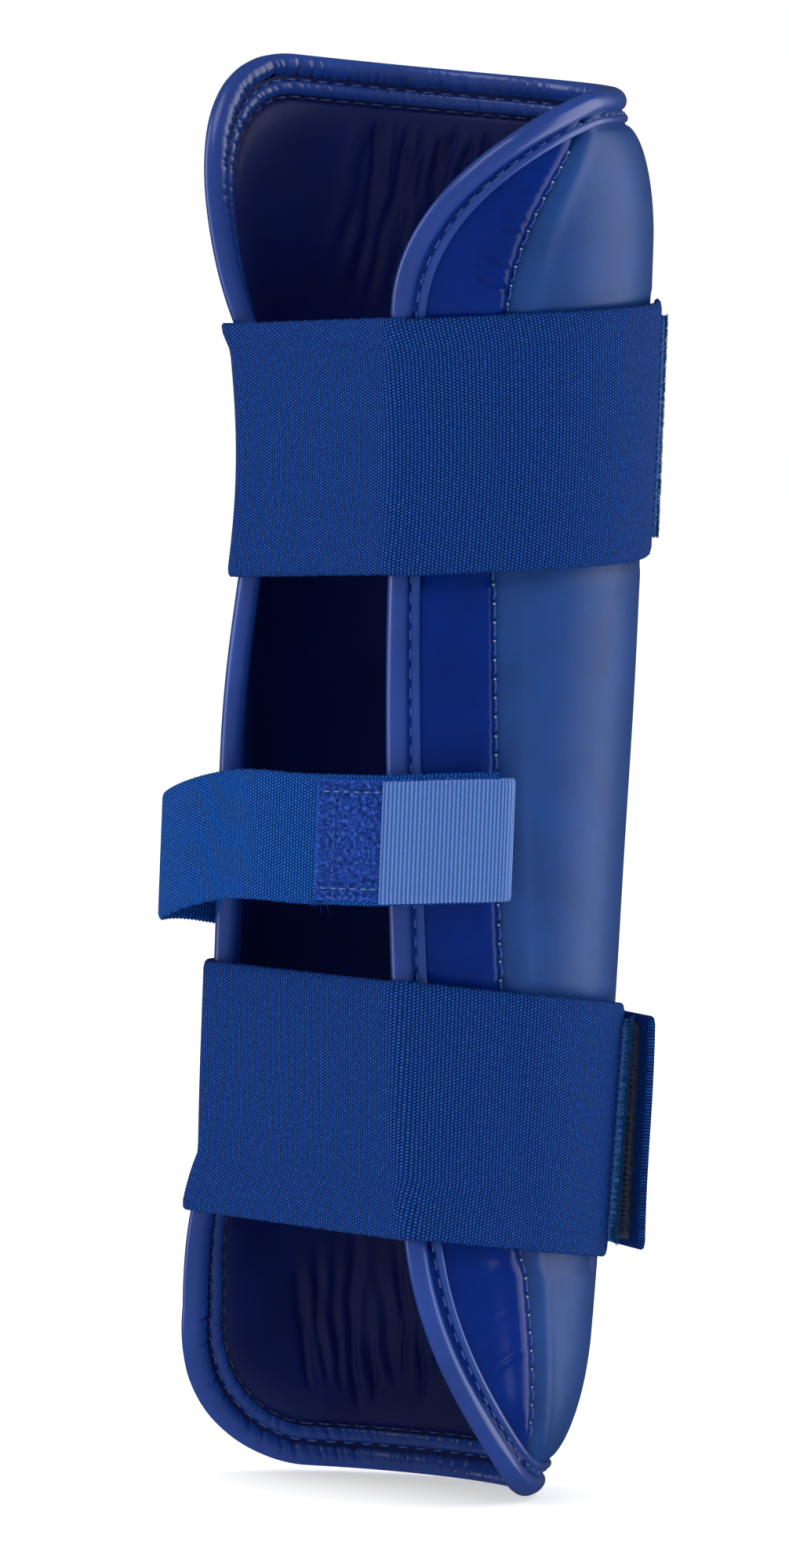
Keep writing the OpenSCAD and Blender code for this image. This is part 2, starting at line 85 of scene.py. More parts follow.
LOW_CORNERS = {1: (42.0, 60.0), -1: (26.0, 29.0)}
BEND_START, BEND_RUN = 45.0, 38.0   # where a wing starts to splay, and the length that it's drawn for
TOP_SPLAY, LOW_SPLAY = (83, 16, 4.6), (-78, 19, 9.6)      # height, run and depth of the splay at each end
UPPER_PULL, LOWER_PULL = (58, 38, 4.6), (-25, 45, 1.4)    # and of where the straps draw the wings in
TUCK_TOP, TUCK_LOW = 3.0, 6.5       # the front edge turns in by this much at each end
TUCK_RUN, TUCK_W = 30.0, 72.0
CROWN, SLANT, DIP = 0.022, 2.0, 1.0
END_Z = GUARD_H / 2

WIDE_W, NARROW_W, ELASTIC_T, TAPE_T = 50.0, 25.0, 1.5, 1.0
UPPER_Z, LOWER_Z = 63.0, -64.5      # heights of the wide straps' middles at the left
UPPER_LIFT, LOWER_LIFT = 8.0, -5.0    # how much higher their right ends are
LIFT_SHARE = {"upper": 0.3, "lower": 0.0}    # share of the lift that a strap has at the right edge
ROOT_S = 62.0                      # width at which the straps are sewn to the left wing
END_S = {"upper": 22.0, "lower": 27.0}       # and at which their free ends lie on the front pad
SEAM_PITCH = 3.75                  # a stitch to the next


def smooth(t):
    """Eases from 0 to 1 as t does, and stays there."""
    t = np.clip(t, 0, 1)
    return t * t * (3 - 2 * t)


def valley(x, width):
    """1 where x is 0, fading to 0 on both sides."""
    return np.exp(-(x / width) ** 2)


def ease(distance, run):
    """Rises from 0 towards 1 as the distance goes above 0."""
    return 1 - np.exp(-np.maximum(0, distance) / run)


def plain_half(z):
    """Half width of the panel before its corners are rounded."""
    return HALF_W + FLARE * z - BOW * z * z


def radius_at(z):
    """Radius of the middle surface."""
    return WRIST_R + (ELBOW_R - WRIST_R) * (z / GUARD_H + 0.5)


def splay(s, z):
    """How far the wings stand out from the round sleeve, or are drawn in by the straps."""
    push = (TOP_SPLAY[2] * ease(z - TOP_SPLAY[0], TOP_SPLAY[1])
            + LOW_SPLAY[2] * ease(LOW_SPLAY[0] - z, LOW_SPLAY[1]))
    pull = (UPPER_PULL[2] * valley(z - UPPER_PULL[0], UPPER_PULL[1])
            + LOWER_PULL[2] * valley(z - LOWER_PULL[0], LOWER_PULL[1]))
    return (push - pull) * (np.maximum(0, np.abs(s) - BEND_START) / BEND_RUN) ** 1.5


def tuck(s, z):
    """How far the front turns in at the two ends."""
    near = np.clip((np.abs(z) - END_Z + TUCK_RUN) / TUCK_RUN, 0, 1) ** 2
    return np.where(z > 0, TUCK_TOP, TUCK_LOW) * near * np.maximum(0, 1 - (s / TUCK_W) ** 2)


def at(s, z, n):
    """Point at width s and height z, n outside the middle surface."""
    s, z, n = np.broadcast_arrays(np.asarray(s, float), np.asarray(z, float), np.asarray(n, float))
    a = s / radius_at(z)
    r = radius_at(z) + splay(s, z) - tuck(s, z) + n
    lift = np.where(z < 0, CROWN * z * (1 + np.cos(a)) / 2, -(z / END_Z) ** 2 * (SLANT * a + DIP))
    return np.stack([r * np.sin(a), r * np.cos(a), z + lift], -1)


def unit(v):
    """Vectors brought to length 1."""
    return v / np.maximum(np.linalg.norm(v, axis=-1, keepdims=True), 1e-9)


def half_outline(side):
    """One half of the panel's outline, from the top middle to the bottom middle, as (width, z)."""
    top, low = TOP_CORNERS[side], LOW_CORNERS[side]
    top_w, low_w = plain_half(END_Z - top[1]), plain_half(low[1] - END_Z)
    q = np.linspace(0, math.pi / 2, 160)
    over = np.stack([top_w - top[0] * (1 - np.sin(q)), END_Z - top[1] * (1 - np.cos(q))], -1)
    under = np.stack([low_w - low[0] * (1 - np.sin(q)), -END_Z + low[1] * (1 - np.cos(q))], -1)
    z = np.linspace(END_Z - top[1], -END_Z + low[1], 200)[1:-1]
    straight = np.stack([plain_half(z), z], -1)
    first = np.stack([np.linspace(0, over[0, 0], 60)[:-1], np.full(59, END_Z)], -1)
    last = np.stack([np.linspace(under[0, 0], 0, 60)[1:], np.full(59, -END_Z)], -1)
    return np.concatenate([first, over, straight, under[::-1], last])


def steps(path):
    """Distance from each point of a path to the next."""
    return np.linalg.norm(np.diff(path, axis=0), axis=1)


def arc(path):
    """Length along a path at each of its points."""
    return np.concatenate([[0], np.cumsum(steps(path))])


def resample(path, step, closed=False):
    """The path at even steps of its length."""
    if closed:
        path = np.concatenate([path, path[:1]])
    length = arc(path)
    count = max(2, int(round(length[-1] / step)))
    t = np.linspace(0, length[-1], count, endpoint=not closed)
    return np.stack([np.interp(t, length, path[:, i]) for i in range(path.shape[1])], -1)


HALVES = {side: half_outline(side) for side in (1, -1)}
OUTLINE = resample(np.concatenate([HALVES[1], (HALVES[-1] * [-1, 1])[-2:0:-1]]), 0.42, closed=True)


def inset(d):
    """The outline moved d towards the panel's middle, as (s, z)."""
    t = np.roll(OUTLINE, -3, 0) - np.roll(OUTLINE, 3, 0)
    inward = unit(np.stack([t[:, 1], -t[:, 0]], -1))
    return OUTLINE + d * inward


def distance_to(path, p):
    """Distance of each point from a path."""
    a, ab = path[:-1], path[1:] - path[:-1]
    best = np.full(len(p), 1e9)
    for first in range(0, len(p), 20000):
        q = p[first:first + 20000, None, :] - a[None]
        t = np.clip((q * ab).sum(-1) / np.maximum((ab ** 2).sum(-1), 1e-9), 0, 1)
        best[first:first + 20000] = np.sqrt(((q - t[..., None] * ab) ** 2).sum(-1)).min(1)
    return best


def rim_distance(s, z):
    """Distance from the outline, inside the panel."""
    s, z = np.broadcast_arrays(s, z)
    p = np.stack([np.abs(s).ravel(), z.ravel()], -1)
    right = s.ravel() >= 0
    best = np.empty(len(p))
    best[right] = distance_to(HALVES[1][::2], p[right])
    best[~right] = distance_to(HALVES[-1][::2], p[~right])
    return best.reshape(s.shape)


RIM_IN = 1.2                       # the panels end this far inside the outline, in the roll


def rising(points):
    """(width, z) rows in order of z, as needed to look a width up."""
    return points[np.argsort(points[:, 1], kind="stable")]


EDGES = {}
for side in (1, -1):
    loop = inset(RIM_IN) * [side, 1]
    EDGES[side] = rising(loop[loop[:, 0] > 0])


def edge_at(z, side):
    """Half width at which the panels end."""
    rows = EDGES[side]
    return np.interp(np.clip(z, rows[0, 1] + 0.02, rows[-1, 1] - 0.02), rows[:, 1], rows[:, 0])


def seam_line(z):
    """Width at which the front pad's seams lie."""
    turn = SEAM_TURN_SHARE * np.maximum(0, z - SEAM_TURN) ** 2
    return SEAM_W + SEAM_FLARE * z - np.where(z > 0, *SEAM_BOW) * z * z - turn


def seam_at(z, side):
    """The same, kept inside the panel's edge."""
    return np.minimum(seam_line(z), edge_at(z, side) - SEAM_ROOM)


def half_at(z, side):
    """Half width of the panel at height z, for the straps."""
    rows = rising(HALVES[side])
    return np.interp(z, rows[:, 1], rows[:, 0])


def pad_share(z):
    """Share of the pad's full rise at a height."""
    q = z / END_Z
    return PAD_SHARE[0] + PAD_SHARE[1] * q - PAD_SHARE[2] * q * q


def rise(s, z, d):
    """Extra height of the front pad over a wing's face; d is the distance from the rim."""
    t = np.minimum(1, np.abs(s) / seam_line(z))
    e = np.clip((d - 5.2) / np.where(z > 0, 24, 15), 0, 1)
    return PAD_RISE * pad_share(z) * (1 - t * t) ** 0.7 * np.sqrt(1 - (1 - e) ** 2)


# ---------------------------------------------------------------- meshes

def make_object(name, points, faces, flat, material):
    """A mesh object from points in millimetres; flat is each point's place on the unrolled cloth."""
    mesh = bpy.data.meshes.new(name)
    mesh.from_pydata((np.asarray(points, float) * MM).tolist(), [], faces)
    attribute = mesh.attributes.new("flat", "FLOAT_VECTOR", "POINT")
    attribute.data.foreach_set("vector", np.asarray(flat, np.float32).ravel())
    mesh.polygons.foreach_set("use_smooth", [True] * len(mesh.polygons))
    mesh.update()
    obj = bpy.data.objects.new(name, mesh)
    bpy.context.scene.collection.objects.link(obj)
    mesh.materials.append(material)
    return obj


def cell_faces(rows, cols, base, flip):
    """Faces over a grid of points whose first point has the index base."""
    i, j = np.meshgrid(np.arange(rows - 1), np.arange(cols - 1), indexing="ij")
    a = (base + i * cols + j).ravel()
    quads = np.stack([a, a + 1, a + cols + 1, a + cols], -1)
    return (quads[:, ::-1] if flip else quads).tolist()


def padded_sheet(name, front, back, flat, step, material):
    """Closed solid with a fine front grid and a back that keeps every step-th row and column."""
    rows, cols = front.shape[:2]
    coarse = back[::step, ::step]
    r, c = coarse.shape[:2]
    base = rows * cols
    faces = cell_faces(rows, cols, 0, True) + cell_faces(r, c, base, False)

    def wall(fine, rough, flip):
        for k in range(len(rough) - 1):
            ring = fine[k * step:(k + 1) * step + 1] + [rough[k + 1], rough[k]]
            faces.append(ring[::-1] if flip else ring)

    wall(list(range(cols)), [base + j for j in range(c)], False)
    wall([(rows - 1) * cols + j for j in range(cols)], [base + (r - 1) * c + j for j in range(c)], True)
    wall([i * cols for i in range(rows)], [base + i * c for i in range(r)], True)
    wall([i * cols + cols - 1 for i in range(rows)], [base + i * c + c - 1 for i in range(r)], False)
    flats = np.concatenate([flat.reshape(-1, 3), flat[::step, ::step].reshape(-1, 3)])
    points = np.concatenate([front.reshape(-1, 3), coarse.reshape(-1, 3)])
    return make_object(name, points, faces, flats, material)


def sweep(name, rings, flat, material, closed=True):
    """A skin over rings of points, each ring closed; open ends are capped."""
    count, sides = rings.shape[:2]
    last = count if closed else count - 1
    i, k = np.meshgrid(np.arange(last), np.arange(sides), indexing="ij")
    j, m = (i + 1) % count, (k + 1) % sides
    faces = np.stack([i * sides + k, i * sides + m, j * sides + m, j * sides + k], -1).reshape(-1, 4).tolist()
    if not closed:
        faces.append(list(range(sides))[::-1])
        faces.append([(count - 1) * sides + k for k in range(sides)])
    return make_object(name, rings.reshape(-1, 3), faces, flat.reshape(-1, 3), material)


def tubes(name, paths, radius, sides, material, taper=False):
    """Many short round strands in one mesh; each path is a small array of points."""
    points, faces, flats = [], [], []
    base = 0
    turn = 2 * np.pi * np.arange(sides) / sides
    for path in paths:
        n = len(path)
        t = unit(np.gradient(path, axis=0))
        helper = np.array([0.3, 0.2, 1.0]) if abs(t[0, 2]) < 0.8 else np.array([1.0, 0.2, 0.1])
        u = unit(np.cross(t, helper))
        v = np.cross(t, u)
        r = radius * (1 - 0.6 * np.linspace(0, 1, n)) if taper else np.full(n, radius)
        ring = path[:, None] + r[:, None, None] * (np.cos(turn)[None, :, None] * u[:, None]
                                                   + np.sin(turn)[None, :, None] * v[:, None])
        points.append(ring.reshape(-1, 3))
        flats.append(np.stack([np.repeat(arc(path), sides), np.tile(turn, n), np.zeros(n * sides)], -1))
        for i in range(n - 1):
            for k in range(sides):
                m = (k + 1) % sides
                faces.append([base + i * sides + k, base + i * sides + m,
                              base + (i + 1) * sides + m, base + (i + 1) * sides + k])
        faces.append([base + k for k in range(sides)][::-1])
        faces.append([base + (n - 1) * sides + k for k in range(sides)])
        base += n * sides
    return make_object(name, np.concatenate(points), faces, np.concatenate(flats), material)


# ---------------------------------------------------------------- materials

class Nodes:
    """A short way to write a material's node tree."""

    def __init__(self, name):
        self.material = bpy.data.materials.new(name)
        self.material.use_nodes = True
        self.tree = self.material.node_tree
        self.shader = self.tree.nodes["Principled BSDF"]
        self.flat = self.add("ShaderNodeAttribute", attribute_name="flat").outputs["Vector"]

    def add(self, kind, inputs=None, **settings):
        node = self.tree.nodes.new(kind)
        for key, value in settings.items():
            setattr(node, key, value)
        for key, value in (inputs or {}).items():
            self.feed(node.inputs[key], value)
        return node

    def feed(self, socket, value):
        if isinstance(value, bpy.types.NodeSocket):
            self.tree.links.new(value, socket)
        else:
            socket.default_value = value

    def math(self, operation, *values):
        node = self.add("ShaderNodeMath", operation=operation)
        for socket, value in zip(node.inputs, values):
            self.feed(socket, value)
        return node.outputs[0]

    def axes(self):
        split = self.add("ShaderNodeSeparateXYZ", {"Vector": self.flat})
        return split.outputs["X"], split.outputs["Y"]

    def scaled(self, x, y, z=1.0):
        return self.add("ShaderNodeVectorMath", {0: self.flat, 1: (x, y, z)}, operation="MULTIPLY").outputs[0]

    def noise(self, scale, detail=3.0, vector=None, rough=0.5):
        return self.add("ShaderNodeTexNoise", {"Vector": vector or self.flat, "Scale": scale,
                                               "Detail": detail, "Roughness": rough}).outputs["Fac"]

    def ramp(self, value, stops):
        node = self.add("ShaderNodeValToRGB", {"Fac": value})
        ramp = node.color_ramp
        while len(ramp.elements) < len(stops):
            ramp.elements.new(0.5)
        for element, (place, colour) in zip(ramp.elements, stops):
            element.position = place
            element.color = (*colour, 1)
        return node.outputs["Color"]

    def spread(self, value, low, high, least=0.0):
        """The value, from least to 1, carried over to low to high."""
        return self.add("ShaderNodeMapRange", {"Value": value, "From Min": least, "To Min": low,
                                               "To Max": high}).outputs["Result"]

    def bump(self, height, strength, distance, before=None):
        inputs = {"Height": height, "Strength": strength, "Distance": distance * MM}
        if before:
            inputs["Normal"] = before
        return self.add("ShaderNodeBump", inputs).outputs["Normal"]

    def finish(self, **values):
        for key, value in values.items():
            self.feed(self.shader.inputs[key.replace("_", " ")], value)
        return self.material


def shade(colour, share):
    """The colour made darker or brighter by a share."""
    return tuple(c * share for c in colour)


def leather(name, colour, roughness, coat, grain=1.0, gloss=0.5):
    """Smooth artificial leather: fine pebbled grain, faint cloudiness, a thin gloss coat."""
    n = Nodes(name)
    cloud = n.noise(0.06, 4)
    base = n.ramp(cloud, [(0.3, shade(colour, 0.86)), (0.7, shade(colour, 1.14))])
    pebble = n.add("ShaderNodeTexVoronoi", {"Vector": n.flat, "Scale": 1.5, "Randomness": 1.0},
                   feature="SMOOTH_F1").outputs["Distance"]
    crease = n.noise(0.9, 5, n.scaled(1, 0.8), 0.6)
    fine = n.noise(4.0, 3)
    rough = n.spread(n.noise(0.35, 4), roughness - 0.05, roughness + 0.06)
    normal = n.bump(pebble, 0.16 * grain, 0.10)
    normal = n.bump(crease, 0.22 * grain, 0.14, normal)
    normal = n.bump(fine, 0.10 * grain, 0.05, normal)
    return n.finish(Base_Color=base, Roughness=rough, Normal=normal, IOR=1.47, Specular_IOR_Level=gloss,
                    Coat_Weight=coat, Coat_Roughness=0.22)


def painted_glint(colour, share, white):
    """Painted glint: the colour made brighter by a share, with some white in it, standing in for a specular
    highlight.
    """
    return tuple(c * share + white for c in colour)


def elastic(name, colour, cell=0.74):
    """Woven elastic: staggered knuckles of yarn, with painted shade darkening the gaps between them and a
    painted glint on their crowns.
    """
    n = Nodes(name)
    wobble = n.noise(0.5, 2)
    x, y = n.axes()
    cx = n.math("ADD", n.math("DIVIDE", x, cell), n.math("MULTIPLY", wobble, 0.35))
    column = n.math("FLOOR", cx)
    fx = n.math("SUBTRACT", n.math("SUBTRACT", cx, column), 0.5)
    shift = n.math("MULTIPLY", column, 0.5)
    fy = n.math("SUBTRACT", n.math("FRACT", n.math("ADD", n.math("DIVIDE", y, cell * 0.86), shift)), 0.5)
    qx = n.math("POWER", n.math("MULTIPLY", n.math("ABSOLUTE", fx), 1.85), 2.0)
    qy = n.math("POWER", n.math("MULTIPLY", n.math("ABSOLUTE", fy), 2.05), 2.0)
    knuckle = n.math("SQRT", n.math("MAXIMUM", n.math("SUBTRACT", 1.0, n.math("ADD", qx, qy)), 0.0))
    yarn = n.noise(9.0, 2, n.scaled(0.35, 1.6))
    broad = n.noise(0.16, 3)
    uneven = n.spread(n.noise(1.1, 3, rough=0.7), 0.45, 1.3)
    value = n.math("MULTIPLY", n.math("MULTIPLY", knuckle, n.spread(yarn, 0.62, 1.18)), uneven)
    # painted shade and highlight: the ramp takes the gaps nearly to black and gives the knuckles' crowns a
    # whiter glint
    base = n.ramp(value, [(0.0, shade(colour, 0.03)), (0.35, shade(colour, 0.50)),
                          (0.75, shade(colour, 1.75)), (1.0, painted_glint(colour, 2.3, 0.07))])
    tint = n.add("ShaderNodeMix", {"Factor": n.spread(broad, 0.0, 0.22)}, data_type="RGBA")
    for socket in tint.inputs:
        if socket.type == "RGBA":
            n.feed(socket, base if socket.name == "A" else (*shade(colour, 0.5), 1))
    mixed = next(o for o in tint.outputs if o.type == "RGBA")
    normal = n.bump(knuckle, 0.75, 0.20)
    normal = n.bump(yarn, 0.25, 0.06, normal)
    return n.finish(Base_Color=mixed, Roughness=0.75, Normal=normal, Specular_IOR_Level=0.06)


def tape_back(name, colour):
    """Woven back of hook tape: upright ribs with small breaks where the weft crosses, its colour darker in the
    grooves (painted shade) and whiter on the crests (painted glint).
    """
    n = Nodes(name)
    x, y = n.axes()
    phase = n.math("MULTIPLY", n.math("DIVIDE", x, RIB_PITCH), 2 * math.pi)
    column = n.math("FLOOR", n.math("ADD", n.math("DIVIDE", x, RIB_PITCH), 0.5))
    crossing = n.math("SINE", n.math("ADD", n.math("MULTIPLY", y, 2 * math.pi / 0.62),
                                     n.math("MULTIPLY", column, 2.4)))
    weft = n.spread(crossing, 0.72, 1.05, -1.0)
    rib = n.spread(n.math("COSINE", phase), 0.0, 1.0, -1.0)
    relief = n.math("MULTIPLY", rib, weft)
    speckle = n.spread(n.noise(1.6, 3, rough=0.7), 0.5, 1.4)
    # painted shade in the grooves between ribs, painted glint on their crests
    base = n.ramp(n.math("MULTIPLY", relief, speckle),
                  [(0.05, shade(colour, 0.50)), (0.4, shade(colour, 0.80)), (1.0, painted_glint(colour, 1.25, 0.05))])
    normal = n.bump(relief, 0.5, 0.12)
    return n.finish(Base_Color=base, Roughness=0.5, Normal=normal, Sheen_Weight=0.2)


def pile(name, colour):
    """Brushed loops, seen as a mottled nap, its brightest spots given a painted glint."""
    n = Nodes(name)
    mottle = n.noise(1.2, 5, rough=0.7)
    fine = n.noise(5.0, 3)
    # the top stop of the ramp is a painted glint
    base = n.ramp(mottle, [(0.3, shade(colour, 0.22)), (0.52, shade(colour, 0.95)),
                           (0.72, painted_glint(colour, 1.9, 0.06))])
    normal = n.bump(mottle, 0.8, 0.35)
    normal = n.bump(fine, 0.6, 0.12, normal)
    return n.finish(Base_Color=base, Roughness=0.95, Normal=normal, Specular_IOR_Level=0.05,
                    Sheen_Weight=0.12, Sheen_Roughness=0.4, Sheen_Tint=(*shade(colour, 2.0), 1))


def yarn(name, colour, twist=5.0, roughness=0.5):
    """Twisted sewing thread."""
    n = Nodes(name)
    x, y = n.axes()
    ply = n.math("SINE", n.math("ADD", n.math("MULTIPLY", x, twist), n.math("MULTIPLY", y, 2.0)))
    base = n.ramp(n.spread(ply, 0.0, 1.0, -1.0), [(0.0, shade(colour, 0.55)), (1.0, shade(colour, 1.25))])
    return n.finish(Base_Color=base, Roughness=roughness, Normal=n.bump(ply, 0.5, 0.05), Sheen_Weight=0.2)


RIB_PITCH, RIB_LIFT = 0.76, 0.07    # ribs of the hook tape's back: one to the next, and their height
WING = leather("wing_leather", (0.0002, 0.0150, 0.150), 0.20, 0.0, 0.3, 0.22)
# pad_leather is a paler, greener copy of the wing's leather: partly its own tone, partly painted light for the
# brighter light that the pad faces
PAD = leather("pad_leather", (0.0020, 0.0430, 0.207), 0.42, 0.04, 0.9, 0.33)
LINING = leather("lining_leather", (0.0030, 0.0085, 0.086), 0.44, 0.02, 1.5, 0.22)
ROLL = leather("binding_leather", (0.0100, 0.0430, 0.250), 0.30, 0.45, 0.6)
ELASTIC = elastic("strap_elastic", (0.0036, 0.0375, 0.204))
MIDDLE_ELASTIC = elastic("middle_elastic", (0.0024, 0.0570, 0.283))
HOOK_BACK = tape_back("hook_tape_back", (0.041, 0.158, 0.545))
HOOKS = yarn("hook_filament", (0.006, 0.014, 0.060), 2.0, 0.3)
# hooks coloured paler than their dark strip: the paleness is a painted glint on the filaments
GLINT_HOOK = yarn("hook_painted_glint", (0.05, 0.09, 0.22), 2.0, 0.25)
LOOP = pile("loop_pile", (0.013, 0.054, 0.320))
FLEECE = pile("pale_fleece", (0.035, 0.150, 0.460))
THREAD = yarn("sewing_thread", (0.016, 0.075, 0.360))
DULL_THREAD = yarn("lining_thread", (0.010, 0.038, 0.200))
PALE_THREAD = yarn("pale_thread", (0.07, 0.17, 0.46))
KNOT = yarn("seam_knot", (0.40, 0.48, 0.60))


# ---------------------------------------------------------------- sleeve

def even_rows(count, reach):
    """Heights that lie closer together towards both ends."""
    t = np.linspace(-1, 1, count)
    return reach * (0.55 * t + 0.45 * np.sin(t * math.pi / 2))


def creases(s, z, lines):
    """Sum of narrow folds; each line is (s0, z0, s1, z1, width, depth)."""
    total = np.zeros_like(s)
    for s0, z0, s1, z1, width, depth in lines:
        ds, dz = s1 - s0, z1 - z0
        length = math.hypot(ds, dz)
        along = ((s - s0) * ds + (z - z0) * dz) / length
        bend = 1.1 * np.sin(along * 0.10 + 1.7 * s0) + 0.22 * np.sin(along * 0.45 + 2.3 * z0)
        across = ((s - s0) * dz - (z - z0) * ds) / length + bend
        fade = smooth(along / (0.2 * length)) * smooth((length - along) / (0.35 * length))
        total += depth * fade * (valley(across, width) - 0.55 * valley(across - 1.9 * width, 1.2 * width))
    return total


def pressed(s, z):
    """1 where a wide strap lies on the sleeve, easing off past its edges."""
    share = np.zeros(np.broadcast(s, z).shape)
    for which, middle, lift in (("upper", UPPER_Z, UPPER_LIFT), ("lower", LOWER_Z, LOWER_LIFT)):
        w = np.abs(s)
        along = np.clip((w - 84) / (END_S[which] - 84), 0, 1)
        z_here = middle + np.where(s > 0, LIFT_SHARE[which] + (1 - LIFT_SHARE[which]) * along, 0) * lift
        over = smooth((WIDE_W / 2 + 4 - np.abs(z - z_here)) / 4)
        under = np.where(s > 0, smooth((w - END_S[which]) / 5), smooth((w - ROOT_S + 3) / 4))
        share = np.maximum(share, over * under)
    return share


def outer_height(s, z, d, pad):
    """Depth of the outer skin: pinched at the rim and along the seam, ridged beside it."""
    x = np.abs(s) - np.where(s < 0, seam_at(z, -1), seam_at(z, 1))
    face = 1.2 + 1.35 * ease(d - 4.3, 2.6)
    ridge = 0.55 * valley(np.abs(x) - 3.4, 2.3)
    pinch = 1.25 * np.exp(-np.abs(x) / 0.85)
    ripple = 0.12 * np.sin(z * 2 * math.pi / SEAM_PITCH) * np.exp(-np.abs(x) / 1.6)
    soft = 0.25 * np.sin(z / 13.0 + s / 9.0) * np.sin(z / 29.0 - s / 17.0) * smooth((d - 6) / 10)
    height = face + ridge - pinch + ripple + 0.4 * soft - 0.95 * pressed(s, z)
    return height + (rise(s, z, d) if pad else 0)


WING_CREASES = [
    (79, 104, 68, 96, 0.55, 0.55), (78, 109, 68, 102, 0.4, 0.4), (76, 113, 68, 108, 0.35, 0.35),
    (75, 117, 67, 113, 0.4, 0.35), (72, 121, 66, 118, 0.3, 0.3), (70, 125, 64, 123, 0.3, 0.25),
    (66, -106, 55, -102, 0.5, 0.25), (64, -114, 54, -110, 0.45, 0.28), (70, -98, 60, -93, 0.5, 0.2),
]


def wing_piece(name, side):
    """Cover of a wing, from the front pad's seam to the roll."""
    z = even_rows(481, END_Z - RIM_IN - 0.05)
    t = np.linspace(0, 1, 61)
    inner_s = seam_at(z, side)
    s = side * (inner_s[:, None] + (edge_at(z, side) - inner_s)[:, None] * t[None])
    zz = np.repeat(z[:, None], len(t), 1)
    d = rim_distance(s, zz)
    n = outer_height(s, zz, d, False) - creases(np.abs(s), zz, WING_CREASES)
    flat = np.stack([s, zz, np.zeros_like(s)], -1)
    front, back = at(s, zz, n), at(s, zz, -0.1)
    if side < 0:
        front, back, flat = front[:, ::-1], back[:, ::-1], flat[:, ::-1]
    return padded_sheet(name, front, back, flat, 10, WING)


def pad_piece():
    """Cover of the front pad, between its two seams."""
    z = even_rows(401, END_Z - RIM_IN - 0.05)
    t = np.linspace(-1, 1, 161)
    reach = np.where(t[None] < 0, seam_at(z, -1)[:, None], seam_at(z, 1)[:, None])
    s = reach * (np.sign(t) * (1 - (1 - np.abs(t)) ** 1.25))[None]
    zz = np.repeat(z[:, None], len(t), 1)
    d = rim_distance(s, zz)
    n = outer_height(s, zz, d, True)
    flat = np.stack([s, zz, np.zeros_like(s)], -1)
    return padded_sheet("front_pad", at(s, zz, n), at(s, zz, -0.1), flat, 10, PAD)


def lining_folds():
    """Upright folds that the lining takes where the panel bends, at both ends."""
    lines = []
    for first, count, pitch, end, soft in ((-49, 9, 3.4, 1, 0.85), (-50, 9, 3.6, -1, 0.8),
                                           (14, 8, 3.8, 1, 0.5), (14, 8, 3.8, -1, 0.5)):
        for k in range(count):
            s0 = first + pitch * k + random.uniform(-0.8, 0.8)
            top = end * (132 - random.uniform(0, 10))
            low = end * (91 + random.uniform(-10, 12))
            lean = -3.5 if end > 0 else -1.5
            width, depth = random.uniform(1.1, 1.8), soft * random.uniform(0.5, 1.1)
            lines.append((s0 + 1.5, top, s0 + lean, low, width, depth))
            for _ in range(2):
                s1 = s0 + random.uniform(-1.4, 1.4)
                reach = random.uniform(0.25, 0.8)
                lines.append((s1 + 1.5, top, s1 + 1.5 + (lean - 1.5) * reach, top + (low - top) * reach,
                              random.uniform(0.3, 0.55), random.uniform(0.15, 0.45)))
    return lines


def lining_piece():
    """The lining, quilted along its rim and creased at both ends."""
    z = even_rows(361, END_Z - RIM_IN - 0.05)
    t = np.linspace(-1, 1, 261)
    s = np.where(t[None] < 0, edge_at(z, -1)[:, None], edge_at(z, 1)[:, None]) * t[None]
    zz = np.repeat(z[:, None], len(t), 1)
    d = rim_distance(s, zz)
    puff = 1.1 + 1.7 * ease(d - 6.0, 2.4)
    puff += 0.35 * np.sin(s / 11.0 + z[:, None] / 31.0) * smooth((d - 9) / 12)
    puff -= 0.5 * valley(d - 6.1, 0.6)
    puff -= creases(s, zz, lining_folds()) * smooth((d - 7) / 5)
    flat = np.stack([s, zz, np.full_like(s, 3.0)], -1)
    front, back = at(s, zz, -puff), at(s, zz, -0.2)
    return padded_sheet("inner_lining_pad", front[:, ::-1], back[:, ::-1], flat[:, ::-1], 10, LINING)


def rim_frame(d, n):
    """Points, inward and outward directions along the outline at inset d and depth n, with the arc length."""
    here, inner = inset(d), inset(d + 1)
    p = at(here[:, 0], here[:, 1], n)
    inward = unit(at(inner[:, 0], inner[:, 1], n) - p)
    outward = unit(at(here[:, 0], here[:, 1], n + 1) - p)
    return here, p, inward, outward, arc(p)


def gathers(length, theta, spacing, depth, lean):
    """Little creases across a rolled strip at uneven places, sharper where the strip turns in."""
    total = np.zeros((len(length), len(theta)))
    place = 0.0
    while place < length[-1]:
        place += random.uniform(0.4, 1.6) * spacing
        w = random.uniform(0.16, 0.42)
        k = random.uniform(0.3, 1.0) * depth
        tilt = random.uniform(0.3, 1.3) * lean
        near = np.abs(length - place) < 6
        total[near] += k * valley(length[near, None] - place - tilt * theta[None], w)
    return total


